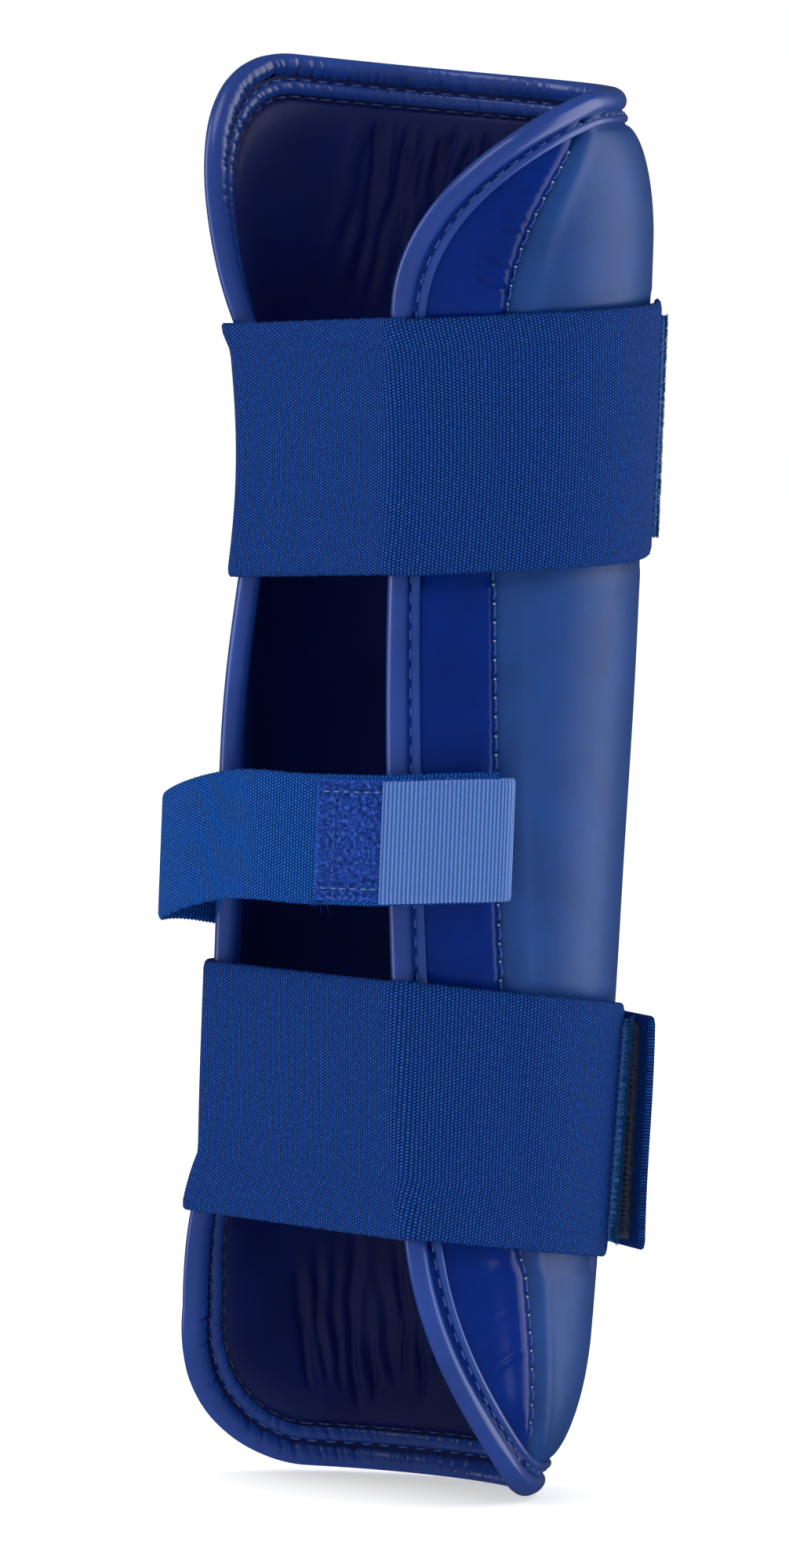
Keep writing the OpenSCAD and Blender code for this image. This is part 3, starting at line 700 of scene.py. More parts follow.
def rim_strip(name, d, n, half_a, half_b, sides, gather, material):
    """Rolled strip along the outline: an oval tube with gathers on its inner side."""
    here, p, inward, outward, length = rim_frame(d, n)
    theta = np.linspace(0, 2 * math.pi, sides, endpoint=False)
    spacing, depth, where = gather
    r = np.ones((len(p), sides))
    near_end = smooth((np.abs(here[:, 1]) - 96) / 25)
    if depth:
        mask = np.clip(np.cos(theta - where), 0, 1) ** 0.7
        more_at_ends = (0.12 + 0.88 * near_end)[:, None]
        r -= gathers(length, theta - where, spacing, depth, 0.5) * mask[None] * more_at_ends
    a = half_a * r * np.cos(theta)[None]
    b = half_b * r * np.sin(theta)[None]
    rings = p[:, None] + a[..., None] * inward[:, None] + b[..., None] * outward[:, None]
    flat = np.stack(np.broadcast_arrays(length[:, None], theta[None] * half_a, np.float64(5.0)), -1)
    return sweep(name, rings, flat, material)


def stitch_paths(points, outward, pitch, dash, lift, sink):
    """Stitches along a path: each a short arc that dives into its two holes."""
    length = arc(points)
    paths, holes = [], []
    for first in np.arange(pitch * 0.5, length[-1] - pitch, pitch):
        f = first + random.uniform(-0.12, 0.12)
        t = np.linspace(0, 1, 7)
        place = f + dash * t
        p = np.stack([np.interp(place, length, points[:, i]) for i in range(3)], -1)
        o = np.stack([np.interp(place, length, outward[:, i]) for i in range(3)], -1)
        height = lift * np.sin(math.pi * t) ** 0.5 - sink * (np.abs(2 * t - 1) ** 6)
        paths.append(p + height[:, None] * o)
        holes.append(p[0])
    return paths, holes


def rim_stitches(name, d, n, dash, radius, lift, material):
    """A row of stitches all round the outline, at inset d and depth n."""
    _, p, _, outward, _ = rim_frame(d, n)
    side = outward if n > 0 else -outward
    p, side = np.concatenate([p, p[:1]]), np.concatenate([side, side[:1]])
    paths, _ = stitch_paths(p, side, SEAM_PITCH, dash, lift, 0.5)
    return tubes(name, paths, radius, 6, material)


def seam_stitches(side):
    """Stitches along one of the front pad's seams, with the pale knot in each hole."""
    z = np.linspace(END_Z - 9, -END_Z + 7, 500)
    s = side * seam_at(z, side)
    d = rim_distance(s, z)
    n = outer_height(s, z, d, False)
    p = at(s, z, n)
    o = unit(at(s, z, n + 1) - p)
    paths, holes = stitch_paths(p, o, SEAM_PITCH, 2.9, 0.55, 0.35)
    name = "left_seam_stitches" if side < 0 else "right_seam_stitches"
    thread = tubes(name, paths, 0.27, 6, THREAD)
    knots = []
    for h in holes:
        k = np.argmin(np.linalg.norm(p - h, axis=1))
        top = h + 0.28 * o[k] - (p[min(k + 1, len(p) - 1)] - p[k - 1]) * 0.2
        knots.append(np.stack([top - 0.25 * o[k], top, top + 0.16 * o[k]]))
    dots = tubes(name.replace("stitches", "knots"), knots, 0.28, 6, KNOT)
    return thread, dots


# ---------------------------------------------------------------- straps

EDGE_TURN = math.radians(45)
BAND_POINTS = 760                  # points along a wide strap
WAVE_PITCH = 0.9                   # of the weave that shows at an elastic's edges


def pad_height(s, z):
    """Height of the pad's rise as the CAD has it, for what lies on the sleeve."""
    t = np.minimum(1, np.abs(s) / seam_line(z))
    e = np.minimum(1, (END_Z - np.abs(z)) / np.where(z > 0, 40, 32))
    return PAD_RISE * pad_share(z) * (1 - t * t) ** 0.7 * np.sin(math.pi / 2 * e)


def on_sleeve(s, z):
    """A strap keeps its own height, whatever the sleeve's ends do."""
    p = at(s, z, STRAP_N + pad_height(s, z))
    p[..., 2] = z
    return p


def round_edge(side, z, q):
    """A strap's turn over the roll; q is the angle that it has turned by."""
    w = half_at(z, side)
    a = side * w / radius_at(z) + side * q
    p = at(side * w, z, 0.0) + STRAP_N * np.stack([np.sin(a), np.cos(a), np.zeros_like(a)], -1)
    p[..., 2] = z
    return p


def blur(path, sigma_steps):
    """Evens out a path's bends and keeps its ends."""
    reach = int(4 * sigma_steps)
    kernel = np.exp(-0.5 * (np.arange(-reach, reach + 1) / sigma_steps) ** 2)
    kernel /= kernel.sum()
    low = 2 * path[0] - path[reach:0:-1]
    high = 2 * path[-1] - path[-2:-reach - 2:-1]
    long = np.concatenate([low, path, high])
    return np.stack([np.convolve(long[:, i], kernel, "valid") for i in range(3)], -1)


def wide_path(which, z, lift):
    """Inner face of a wide strap at one height, from the left wing over the opening to the front pad."""
    t = np.linspace(0, 1, 120)
    zl = np.full(120, z)
    left = on_sleeve(-(ROOT_S + (half_at(z, -1) - 2 - ROOT_S) * t), zl)
    q = np.linspace(0, EDGE_TURN, 24)
    left_turn = round_edge(-1, np.full(24, z), q)
    share = LIFT_SHARE[which]
    right_turn = round_edge(1, np.full(24, z + share * lift), q[::-1])
    zr = z + (share + (1 - share) * t) * lift
    right = on_sleeve(half_at(zr, 1) - 2 + (END_S[which] - half_at(zr, 1) + 2) * t, zr)
    path = blur(resample(np.concatenate([left, left_turn, right_turn, right]), 0.25), 5)
    return resample(path, steps(path).sum() / BAND_POINTS)[:BAND_POINTS]


def directions(grid):
    """Downward and outward directions on a grid with one column for each height."""
    along = unit(np.gradient(grid, axis=0))
    down = unit(np.gradient(grid, axis=1))
    return down, unit(np.cross(down, along))


def ribbon_mesh(name, rows, thickness, material, inner=0.0, edge_wave=0.0):
    """Solid band over rows of paths (one per height, top to bottom), rounded along both edges."""
    count = min(len(r) for r in rows)
    grid = np.stack([r[:count] for r in rows], 1)
    down, out = directions(grid)
    u, v = arc(grid[:, grid.shape[1] // 2]), arc(grid[count // 2])
    half = thickness / 2
    middle = grid + (inner + half) * out
    front = middle + half * out
    back = middle - half * out
    wave = edge_wave * np.cos(2 * math.pi * u / WAVE_PITCH)[:, None]
    top_edge = middle[:, 0] - down[:, 0] * (0.45 * half + wave)
    low_edge = middle[:, -1] + down[:, -1] * (0.45 * half + wave)
    front[:, 0] -= 0.35 * half * out[:, 0]
    front[:, -1] -= 0.35 * half * out[:, -1]
    back[:, 0] += 0.35 * half * out[:, 0]
    back[:, -1] += 0.35 * half * out[:, -1]
    rings = np.concatenate([front, low_edge[:, None], back[:, ::-1], top_edge[:, None]], 1)
    vv = np.concatenate([v, [v[-1] + half], v[::-1], [-half]])
    flat = np.stack(np.broadcast_arrays(u[:, None], vv[None], np.float64(0)), -1).copy()
    return sweep(name, rings, flat, material, closed=False)


def heights(z, w, count):
    """Heights of a ribbon's rows, closer together at its edges."""
    t = np.linspace(-1, 1, count)
    return z - (w / 2) * (0.5 * t + 0.5 * np.sin(t * math.pi / 2))


def assign(piece, slot, body, *nodes):
    """Attaches a piece to its body and hides the CAD nodes that it stands for; the slot is not used."""
    if nodes:
        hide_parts(*nodes)
    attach(piece, body)


def blend_at_hinge(piece, name, toward, reach):
    """Works out the way across a strap's or tab's hinge, which is not used further, and bakes the piece's
    placement into its mesh.
    """
    j = next(j for j in frame["joints"] if j["name"] == name)
    axis = Vector(j["axis"]).normalized()
    way = Vector(toward)
    way = (way - axis * way.dot(axis)).normalized() * reach * MM
    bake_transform(piece)


def wide_strap(which, z, lift):
    """A wide strap's band; returns its rows."""
    rows = [wide_path(which, h, lift) for h in heights(z, WIDE_W, 23)]
    band = ribbon_mesh(which + "_strap_band", rows, ELASTIC_T, ELASTIC, edge_wave=0.12)
    blend_at_hinge(band, which + "_strap_swing", (1, 0, 0), 2.4)
    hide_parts(which + "_strap_root", which + "_elastic")
    return rows


def pile_fibres(name, grid, out, count, length, radius, material, seed):
    """Short curled fibres standing on a patch."""
    rng = np.random.default_rng(seed)
    rows, cols = grid.shape[:2]
    paths = []
    for _ in range(count):
        i, j = rng.uniform(0, rows - 1.001), rng.uniform(0, cols - 1.001)
        a, b = int(i), int(j)
        fi, fj = i - a, j - b
        p = ((1 - fi) * (1 - fj) * grid[a, b] + fi * (1 - fj) * grid[a + 1, b]
             + (1 - fi) * fj * grid[a, b + 1] + fi * fj * grid[a + 1, b + 1])
        o = out[a, b]
        side = unit(np.cross(o, rng.normal(size=3)))
        h = length * rng.uniform(0.5, 1.2)
        t = np.linspace(0, 1, 4)[:, None]
        paths.append(p + o * h * np.sin(t * 2.2) + side * h * 1.1 * t ** 1.5)
    return tubes(name, paths, radius, 3, material, taper=True)


def surface_of(rows, first, last, inner, stride):
    """Part of a band's face as a grid of points with their outward directions, at offset inner."""
    grid = np.stack([r[first:last:stride] for r in rows], 1)
    _, out = directions(grid)
    return grid + inner * out, out


def line_stitches(name, points, out, material, pitch=2.6, dash=1.9, radius=0.2):
    """A row of stitches along a line of a band's face."""
    paths, _ = stitch_paths(points, out, pitch, dash, 0.32, 0.45)
    return tubes(name, paths, radius, 5, material)


def stitch_rows(name, rows, first, last, places, *style):
    """Rows of stitches across a band, at the given places along part of it."""
    grid, out = surface_of(rows, first, last, ELASTIC_T, 2)
    return [line_stitches("%s_%d" % (name, k), grid[i], out[i], THREAD, *style) for k, i in enumerate(places)]


def join(name, objects):
    """One object from several."""
    for o in objects:
        o.select_set(True)
    bpy.context.view_layer.objects.active = objects[0]
    with bpy.context.temp_override(active_object=objects[0], selected_editable_objects=objects,
                                   selected_objects=objects, object=objects[0]):
        bpy.ops.object.join()
    objects[0].name = name
    for o in bpy.context.selected_objects:
        o.select_set(False)
    return objects[0]


NAP = {"upper": (2400, 0.6), "lower": (5200, 1.3)}    # number and length of a patch's fibres
PATCH_T = {"upper": TAPE_T * 0.8, "lower": TAPE_T * 1.5}    # its thickness


def wide_loop_patch(which, z, lift):
    """Pile patch on the outer face of a wide strap's end, with its stitching."""
    body = which + "_strap"
    rows = [wide_path(which, h, lift) for h in heights(z, WIDE_W - 6, 17)]
    patch_rows = [r[BAND_POINTS - 15:] for r in rows]
    patch = ribbon_mesh(which + "_loop_pad", patch_rows, PATCH_T[which], FLEECE, inner=ELASTIC_T)
    assign(patch, "loop_tape", body, which + "_loop_patch")
    grid, out = surface_of(rows, BAND_POINTS - 16, BAND_POINTS, ELASTIC_T + TAPE_T * 0.75, 3)
    nap = pile_fibres(which + "_loop_nap", grid, out, *NAP[which], 0.05, FLEECE, 3)
    assign(nap, "loop_tape", body)
    grid, out = surface_of(rows, BAND_POINTS - 20, BAND_POINTS, ELASTIC_T, 2)
    thread = line_stitches(which + "_strap_stitches", grid[1], out[1], THREAD)
    assign(thread, "thread", body, which + "_strap_thread")


# ---------------------------------------------------------------- wide straps' hook tabs

TAB_ROOT_S = {"upper": 8.0, "lower": 13.0}    # width at which a tab leaves the pad
TAB_LENGTH = {"upper": 9.0, "lower": 24.0}    # of its free part
TAB_LIFT = {"upper": 0.6, "lower": 1.4}       # how far its free part stands off
TAB_BASE_W = 12.0                  # length that is sewn down
TAB_W = WIDE_W - 4
TAB_POINTS = 180                   # points along a tab


def tab_line(which, z_mid, z):
    """Inner face of a tab at height z: sewn flat on the pad, then straight off along its tangent."""
    t = np.linspace(0, 1, 40)
    root, length = TAB_ROOT_S[which], TAB_LENGTH[which]
    s = root - TAB_BASE_W * (1 - t)
    sewn = at(s, z, HALF_T + 0.05 + pad_height(s, z))
    sewn[..., 2] = z
    a = root / radius_at(z_mid)
    r = radius_at(z_mid) + HALF_T + pad_height(np.float64(root), np.float64(z_mid))
    l = np.linspace(2.4, length, 60)
    off = TAB_LIFT[which] + 0.25 * np.sin((z - z_mid) / 9.0) * (l / length) ** 2
    free = np.stack([r * math.sin(a) + l * math.cos(a) + off * math.sin(a),
                     r * math.cos(a) - l * math.sin(a) + off * math.cos(a), np.full_like(l, z)], -1)
    path = blur(resample(np.concatenate([sewn, free]), 0.25), 3)
    return resample(path, steps(path).sum() / TAB_POINTS)[:TAB_POINTS]


def hook_field(name, grid, out, columns, height, radius, material, seed):
    """Little hooks on a grid's rows: each stands up and curls over at its tip."""
    rng = np.random.default_rng(seed)
    fine = np.linspace(0, grid.shape[1] - 1.001, columns)
    lower = fine.astype(int)
    part = (fine - lower)[None, :, None]
    grid, out = grid[:, lower] * (1 - part) + grid[:, lower + 1] * part, out[:, lower]
    curl = np.pi * 1.25 * np.linspace(0, 1, 6)[:, None]
    paths = []
    for i in range(grid.shape[0]):
        for j in range(columns):
            p, o = grid[i, j], out[i, j]
            side = unit(np.cross(o, [0, 0, 1.0]) * (1 if (i + j) % 2 else -1) + rng.normal(size=3) * 0.35)
            h = height * rng.uniform(0.8, 1.15)
            paths.append(p + o * h * (np.sin(curl * 0.8) * 0.95) + side * h * 0.38 * (1 - np.cos(curl)))
    return tubes(name, paths, radius, 4, material)


def wide_tab(which, z_mid):
    """A wide strap's hook tab; returns the stitches of its sewn end."""
    length, body = TAB_LENGTH[which], which + "_tab_flap"
    rows = [tab_line(which, z_mid, h) for h in heights(z_mid, TAB_W, 21)[::-1]]
    band = ribbon_mesh(which + "_tab_band", rows, ELASTIC_T, ELASTIC, edge_wave=0.1)
    a = TAB_ROOT_S[which] / radius_at(z_mid)
    blend_at_hinge(band, which + "_tab_peel", (math.cos(a), -math.sin(a), 0), 1.8)
    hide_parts(which + "_tab_base", which + "_tab")

    per_mm = TAB_POINTS / (length + TAB_BASE_W)
    first = int(per_mm * (TAB_BASE_W + max(length - 10.5, 3.5)))
    last = int(per_mm * (TAB_BASE_W + max(length - 4.5, 7.0)))
    hook_rows = [tab_line(which, z_mid, h)[first:last] for h in heights(z_mid, TAB_W - 3, 15)[::-1]]
    strip = ribbon_mesh(which + "_hook_strip", hook_rows, 0.5, HOOKS, inner=-0.5)
    grid, out = surface_of(hook_rows, 0, last - first, -0.5, 5)
    hooks = hook_field(which + "_hook_field", grid, -out, 44, 0.85, 0.09, GLINT_HOOK, 5)
    assign(strip, "hook_tape", body, which + "_tab_hooks")
    assign(hooks, "hook_tape", body)

    seams = stitch_rows(which + "_tab_line", rows, first - 2, last + 4, (1, -2), 2.4, 1.7, 0.18)
    sewn = stitch_rows(which + "_base_line", rows, 4, 50, (3, -4), 2.4, 1.7, 0.18)
    assign(join(which + "_tab_stitches", seams), "thread", body, which + "_tab_thread")
    return join(which + "_tab_base_stitches", sewn)


# ---------------------------------------------------------------- middle strap

MIDDLE_ROUTE = np.array([
    [-39.2, -8.4, -20], [-38.6, -14, -20], [-38.6, -18, -19.5], [-39, -22, -19],
    [-39.2, -25, -18.8], [-39.2, -27, -18.8], [-38.7, -28.6, -18.9], [-37.2, -30.6, -18.8],
    [-34.2, -32.6, -18.2], [-29.8, -34.2, -17], [-22, -35.6, -15], [-10, -36.3, -12.8],
    [0, -37.2, -12.2], [10, -35.6, -12.3], [20, -33, -12], [28, -29.4, -11.7],
    [33.5, -25.6, -11.2], [38, -21, -10.7], [41.1, -16.9, -10.4], [43.3, -13.4, -10.2],
])
FOLD_L, FOLD_OVER = 3.2, 0.4       # how far the hook tape's fold stands past the strap, and its slack
FLAP = -0.4, NARROW_W - 1.4        # the hook tape's middle over the elastic's, and its width
THIN_T = TAPE_T * 0.8              # thickness of the hook tape and of the loop patch's ground


def spline(points, step):
    """Smooth curve through the points at even steps."""
    chord = arc(points)
    tangent = np.gradient(points, chord, axis=0)
    t = np.linspace(0, chord[-1], 1500)
    i = np.clip(np.searchsorted(chord, t, "right") - 1, 0, len(chord) - 2)
    h = (chord[i + 1] - chord[i])[:, None]
    f = ((t - chord[i]) / (chord[i + 1] - chord[i]))[:, None]
    p = ((2 * f ** 3 - 3 * f ** 2 + 1) * points[i] + (f ** 3 - 2 * f ** 2 + f) * h * tangent[i]
         + (3 * f ** 2 - 2 * f ** 3) * points[i + 1] + (f ** 3 - f ** 2) * h * tangent[i + 1])
    return resample(p, step)


MIDDLE = spline(MIDDLE_ROUTE, 0.2)
TURN_INDEX = int(np.argmin(MIDDLE[:, 0] + 0.3 * MIDDLE[:, 1]))    # where it turns round the left edge


def middle_index(x):
    """Index on the middle strap's path, past its turn, where it reaches x."""
    return TURN_INDEX + int(np.argmin(np.abs(MIDDLE[TURN_INDEX:, 0] - x)))


def middle_rows(first, last, w, count):
    """Part of the middle strap's path at each height of a band of width w."""
    return [MIDDLE[first:last] + [0, 0, h] for h in heights(0, w, count)]


PATCH_FIRST, PATCH_LAST = middle_index(16.2), len(MIDDLE) - 3
END_WAY = unit(MIDDLE[-1] - MIDDLE[-8])
OUT_WAY = np.array([END_WAY[1], -END_WAY[0], 0.0])
FLAP_INNER = ELASTIC_T + TAPE_T + FOLD_OVER
FOLD_R = FLAP_INNER / 2 + THIN_T
PAST_END = MIDDLE[-1] + np.linspace(0.2, FOLD_L - FOLD_R, 8)[:, None] * END_WAY


def middle_band():
    """The elastic itself."""
    rows = middle_rows(0, len(MIDDLE), NARROW_W, 17)
    band = ribbon_mesh("middle_strap_band", rows, ELASTIC_T, MIDDLE_ELASTIC, edge_wave=0.12)
    blend_at_hinge(band, "middle_strap_swing", (0.5, -0.87, 0), 2.0)
    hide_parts("middle_strap_root", "middle_elastic")


def loose_threads(name, start, down, count, length, radius, material, seed):
    """Fine ends that stick out of a cut edge; start and down are the edge's first point and its direction."""
    rng = np.random.default_rng(seed)
    paths = []
    for _ in range(count):
        p = start + down * rng.uniform(0, 1)
        way = unit(np.array([-0.9, 0.4, -0.2]) + rng.normal(size=3) * 0.5)
        bend = rng.normal(size=3) * 0.35
        t = np.linspace(0, 1, 5)[:, None]
        paths.append(p + length * rng.uniform(0.4, 1.3) * (t * way + t ** 2 * bend))
    return tubes(name, paths, radius, 4, material, taper=True)


def middle_loops():
    """Pile patch on the middle strap, with its nap, its selvedge and the frayed corner of that."""
    rows = middle_rows(PATCH_FIRST, PATCH_LAST, NARROW_W - 1.5, 13)
    patch = ribbon_mesh("middle_loop_pad", rows, THIN_T, LOOP, inner=ELASTIC_T)
    assign(patch, "loop_tape", "middle_strap", "middle_loop_patch")
    rows = middle_rows(PATCH_FIRST, PATCH_LAST, NARROW_W - 2.5, 13)
    grid, out = surface_of(rows, 0, 240, ELASTIC_T + TAPE_T * 0.75, 6)
    nap = pile_fibres("middle_loop_nap", grid, out, 3600, 0.42, 0.05, LOOP, 4)
    rows = middle_rows(PATCH_FIRST - 2, PATCH_FIRST + 8, NARROW_W - 1.5, 13)
    selvedge = ribbon_mesh("middle_loop_selvedge", rows, TAPE_T * 0.9, LOOP, inner=ELASTIC_T)
    for piece in (nap, selvedge):
        assign(piece, "loop_tape", "middle_strap")
    corner = MIDDLE[PATCH_FIRST] + [0, -ELASTIC_T, -NARROW_W / 2 + 1.2]
    frays = loose_threads("middle_frayed_threads", corner, np.array([1.6, 0, -1.2]), 26, 2.2, 0.07, LOOP, 8)
    assign(frays, "thread", "middle_strap")


def ribbed(name, path, inner):
    """Hook tape over a path, with real ribs across its outer face; returns its mesh object and rows."""
    rows = [path + [0, 0, h] for h in heights(*FLAP, 17)]
    obj = ribbon_mesh(name, rows, THIN_T, HOOK_BACK, inner=inner)
    mesh = obj.data
    flat = np.empty(len(mesh.vertices) * 3, np.float32)
    mesh.attributes["flat"].data.foreach_get("vector", flat)
    co, normal = np.empty((2, len(mesh.vertices) * 3))
    mesh.vertices.foreach_get("co", co)
    mesh.vertices.foreach_get("normal", normal)
    lift = RIB_LIFT * MM * np.cos(2 * math.pi * flat.reshape(-1, 3)[:, 0] / RIB_PITCH)
    co = co.reshape(-1, 3) + lift[:, None] * normal.reshape(-1, 3)
    mesh.vertices.foreach_set("co", co.ravel())
    mesh.update()
    return obj, rows


def middle_tab():
    """Hook tape sewn behind the middle strap's end, round it, and back over the loop patch."""
    path = resample(np.concatenate([MIDDLE[middle_index(28.8):], PAST_END]), 0.12)
    flap, rows = ribbed("middle_hook_flap", path, FLAP_INNER)
    assign(flap, "hook_tape", "middle_tab_flap", "middle_hook_tab")
    top = path[0] + unit([0.57, -0.82, 0]) * (FLAP_INNER + 0.4) + [0, 0, NARROW_W / 2 - 1.5]
    down = np.array([0, 0, 3.0 - NARROW_W])
    fibres = loose_threads("middle_flap_fibres", top, down, 90, 0.8, 0.045, HOOK_BACK, 9)
    assign(fibres, "hook_tape", "middle_tab_flap")
    grid, out = surface_of(rows, 0, -30, FLAP_INNER, 8)
    field = hook_field("middle_hook_field", grid, -out, 24, 0.4, 0.07, HOOK_BACK, 6)
    assign(field, "hook_tape", "middle_tab_flap")

    path = resample(np.concatenate([MIDDLE[middle_index(33.5):], PAST_END]), 0.12)
    base, _ = ribbed("middle_tab_root", path, -THIN_T)
    assign(base, "hook_tape", "middle_strap", "middle_tab_base")

    angle = np.linspace(-math.pi / 2, math.pi / 2, 40)[:, None]
    centre = MIDDLE[-1] + END_WAY * (FOLD_L - FOLD_R) + OUT_WAY * FLAP_INNER / 2
    path = centre + FOLD_R * (np.cos(angle) * END_WAY + np.sin(angle) * OUT_WAY)
    fold, _ = ribbed("middle_tab_fold", path, 0.0)
    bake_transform(fold)


def middle_box():
    """Box of stitches round the loop patch."""
    rows = middle_rows(PATCH_FIRST, PATCH_LAST, NARROW_W - 6, 9)
    grid, out = surface_of(rows, 0, None, ELASTIC_T + THIN_T, 2)
    edges = ((grid[:, 0], out[:, 0], PALE_THREAD), (grid[:, -1], out[:, -1], PALE_THREAD),
             (grid[9], out[9], THREAD))
    lines = [line_stitches("middle_box_%d" % k, *edge, 2.2, 1.5, 0.17) for k, edge in enumerate(edges)]
    assign(join("middle_strap_stitches", lines), "thread", "middle_strap", "middle_strap_thread")


# ---------------------------------------------------------------- build

WIDE_STRAPS = ("upper", UPPER_Z, UPPER_LIFT), ("lower", LOWER_Z, LOWER_LIFT)


def build_sleeve():
    """Roll, piping and stitches of the rim, then the pad, the wings and the lining."""
    roll = rim_strip("edge_roll", 0.0, 0.0, ROLL_R, ROLL_R, 22, (1.8, 0.24, -math.pi * 0.30), ROLL)
    assign(roll, "binding_leather", "sleeve", "edge_binding", "edge_cord")
    outer_piping = rim_strip("outer_piping", 3.75, 1.35, 0.95, 0.85, 12, (3.0, 0.0, 0), ROLL)
    assign(outer_piping, "binding_leather", "sleeve")
    inner_fold = rim_strip("inner_fold", 4.3, -1.25, 1.45, 0.95, 14, (1.5, 0.42, -math.pi / 2), ROLL)
    assign(inner_fold, "binding_leather", "sleeve")

    rim_thread = rim_stitches("binding_stitches", 2.75, 1.05, 2.3, 0.22, 0.5, THREAD)
    assign(rim_thread, "thread", "sleeve", "binding_thread")
    inner_rim_thread = rim_stitches("inner_binding_stitches", 2.75, -1.05, 2.3, 0.22, 0.5, THREAD)
    assign(inner_rim_thread, "thread", "sleeve")
    quilt_thread = rim_stitches("lining_stitches", 6.1, -1.15, 2.2, 0.2, 0.4, DULL_THREAD)
    assign(quilt_thread, "thread", "sleeve", "lining_thread")

    pad = pad_piece()
    assign(pad, "pad_leather", "sleeve", "front_cover", "front_pad_foam")
    for side, word in ((-1, "left"), (1, "right")):
        wing = wing_piece(word + "_wing", side)
        assign(wing, "wing_leather", "sleeve", word + "_wing_cover", word + "_wing_foam")
        thread, knots = seam_stitches(side)
        assign(thread, "thread", "sleeve", word + "_seam_thread")
        assign(knots, "thread", "sleeve")
    lining = lining_piece()
    assign(lining, "lining_leather", "sleeve", "inner_lining")


def build_straps():
    """The three straps and their tabs; the stitches that hold them down are joined last."""
    root_lines = []
    for which, z, lift in WIDE_STRAPS:
        rows = wide_strap(which, z, lift)
        wide_loop_patch(which, z, lift)
        root_lines += stitch_rows(which + "_root", rows, 4, 40, (2, 9, 16))
    base_lines = [wide_tab(which, z + lift) for which, z, lift in WIDE_STRAPS]
    assign(join("tab_base_stitches", base_lines), "thread", "sleeve", "tab_base_thread")

    middle_band()
    middle_loops()
    middle_tab()
    middle_box()
    root_lines += stitch_rows("middle_root", middle_rows(0, 60, NARROW_W, 17), 0, 60, (2, 10))
    assign(join("strap_root_stitches", root_lines), "thread", "sleeve", "strap_root_thread")


# ---------------------------------------------------------------- stage, light and camera

AZIMUTH, ELEVATION, ROLL_ANGLE = math.radians(50), math.radians(2.5), math.radians(2.2)
DISTANCE = 2.2
VIEW_HEIGHT = 0.3125               # height of the view at the guard
CAMERA_AIM = (-2.66, -2.19)        # right of and above the guard's origin, in the view
SENSOR = 36.0


def build_stage():
    """Pale floor just under the guard."""
    floor_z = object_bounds()[0][2] - 0.0002
    bpy.ops.mesh.primitive_circle_add(vertices=96, radius=12, fill_type="NGON", location=(0, 0, floor_z))
    floor = bpy.context.object
    floor.name = "floor"
    material = bpy.data.materials.new("pale_floor")
    material.use_nodes = True
    shader = material.node_tree.nodes["Principled BSDF"]
    shader.inputs["Base Color"].default_value = (0.86, 0.86, 0.86, 1)
    shader.inputs["Emission Color"].default_value = (1, 1, 1, 1)
    shader.inputs["Emission Strength"].default_value = 0.42
    shader.inputs["Roughness"].default_value = 0.9
    shader.inputs["Specular IOR Level"].default_value = 0.1
    floor.data.materials.append(material)
    floor.visible_glossy = False


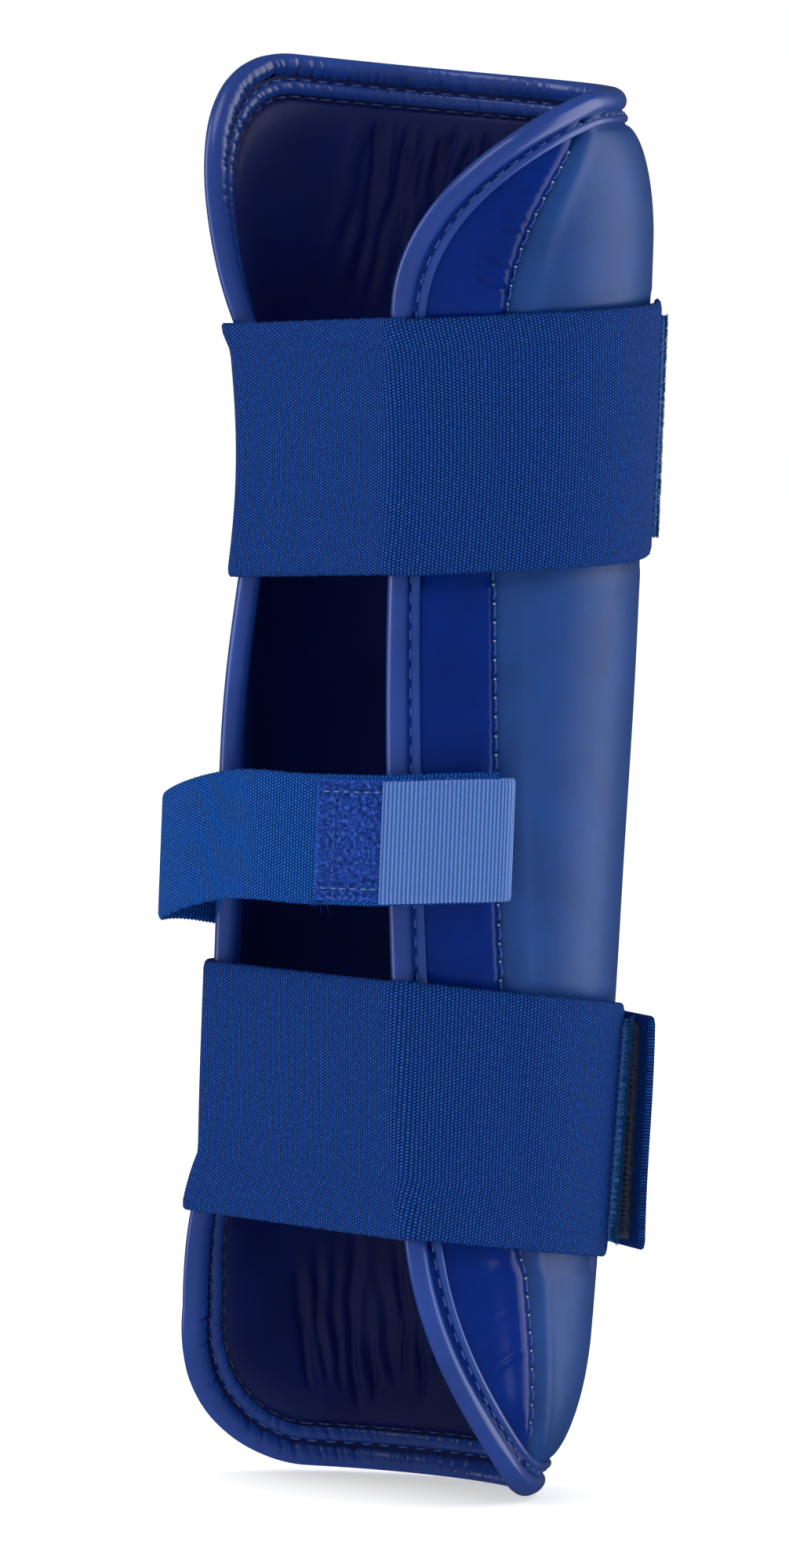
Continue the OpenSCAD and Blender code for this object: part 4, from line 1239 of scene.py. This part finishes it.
def build_world():
    """White behind the guard, soft light all round, and little of either in its gloss."""
    world = bpy.data.worlds.new("studio")
    bpy.context.scene.world = world
    world.use_nodes = True
    tree = world.node_tree
    path = tree.nodes.new("ShaderNodeLightPath")
    shader = tree.nodes["Background"]
    shader.inputs["Color"].default_value = (1, 1, 1, 1)
    shader.inputs["Strength"].default_value = 0.86
    for ray, strength in (("Is Glossy Ray", 0.05), ("Is Camera Ray", 1.0)):
        other = tree.nodes.new("ShaderNodeBackground")
        other.inputs["Color"].default_value = (1, 1, 1, 1)
        other.inputs["Strength"].default_value = strength
        mix = tree.nodes.new("ShaderNodeMixShader")
        tree.links.new(path.outputs[ray], mix.inputs["Fac"])
        tree.links.new(shader.outputs[0], mix.inputs[1])
        tree.links.new(other.outputs[0], mix.inputs[2])
        shader = mix
    tree.links.new(shader.outputs[0], tree.nodes["World Output"].inputs["Surface"])
    world.cycles.sampling_method = "NONE"


def softbox(name, azimuth, height, distance, size, power):
    """Area light that looks at the guard; azimuth as for the camera, in degrees."""
    light = bpy.data.lights.new(name, "AREA")
    light.shape = "RECTANGLE"
    light.size, light.size_y = size
    light.energy = power
    lamp = bpy.data.objects.new(name, light)
    bpy.context.scene.collection.objects.link(lamp)
    a = math.radians(azimuth)
    lamp.location = (distance * math.sin(a), -distance * math.cos(a), height)
    lamp.rotation_euler = (-Vector(lamp.location)).to_track_quat("-Z", "Y").to_euler()
    lamp.visible_camera = False


def build_camera():
    """Camera at the picture's angle, turned a little about its own axis."""
    back = Vector((math.sin(AZIMUTH) * math.cos(ELEVATION), -math.cos(AZIMUTH) * math.cos(ELEVATION),
                   math.sin(ELEVATION)))
    right = Vector((math.cos(AZIMUTH), math.sin(AZIMUTH), 0))
    up = back.cross(right)
    data = bpy.data.cameras.new("camera")
    data.sensor_width = SENSOR
    data.lens = SENSOR * DISTANCE / VIEW_HEIGHT
    data.clip_end = 50
    camera = bpy.data.objects.new("camera", data)
    bpy.context.scene.collection.objects.link(camera)
    turned_right = right * math.cos(ROLL_ANGLE) + up * math.sin(ROLL_ANGLE)
    turned_up = back.cross(turned_right)
    aim = (turned_right * CAMERA_AIM[0] + turned_up * CAMERA_AIM[1]) * MM
    place = aim + back * DISTANCE
    camera.matrix_world = Matrix((
        (turned_right.x, turned_up.x, back.x, place.x),
        (turned_right.y, turned_up.y, back.y, place.y),
        (turned_right.z, turned_up.z, back.z, place.z),
        (0, 0, 0, 1)))
    bpy.context.scene.camera = camera


build_sleeve()
build_straps()
build_stage()
build_world()
softbox("right_light", 156, 0.25, 1.5, (1.2, 2.0), 14)
softbox("left_light", -50, 0.3, 1.4, (0.5, 1.6), 6)
softbox("top_light", 0, 1.9, 0.8, (1.2, 1.2), 8)
build_camera()
bpy.context.scene.view_settings.view_transform = "Standard"
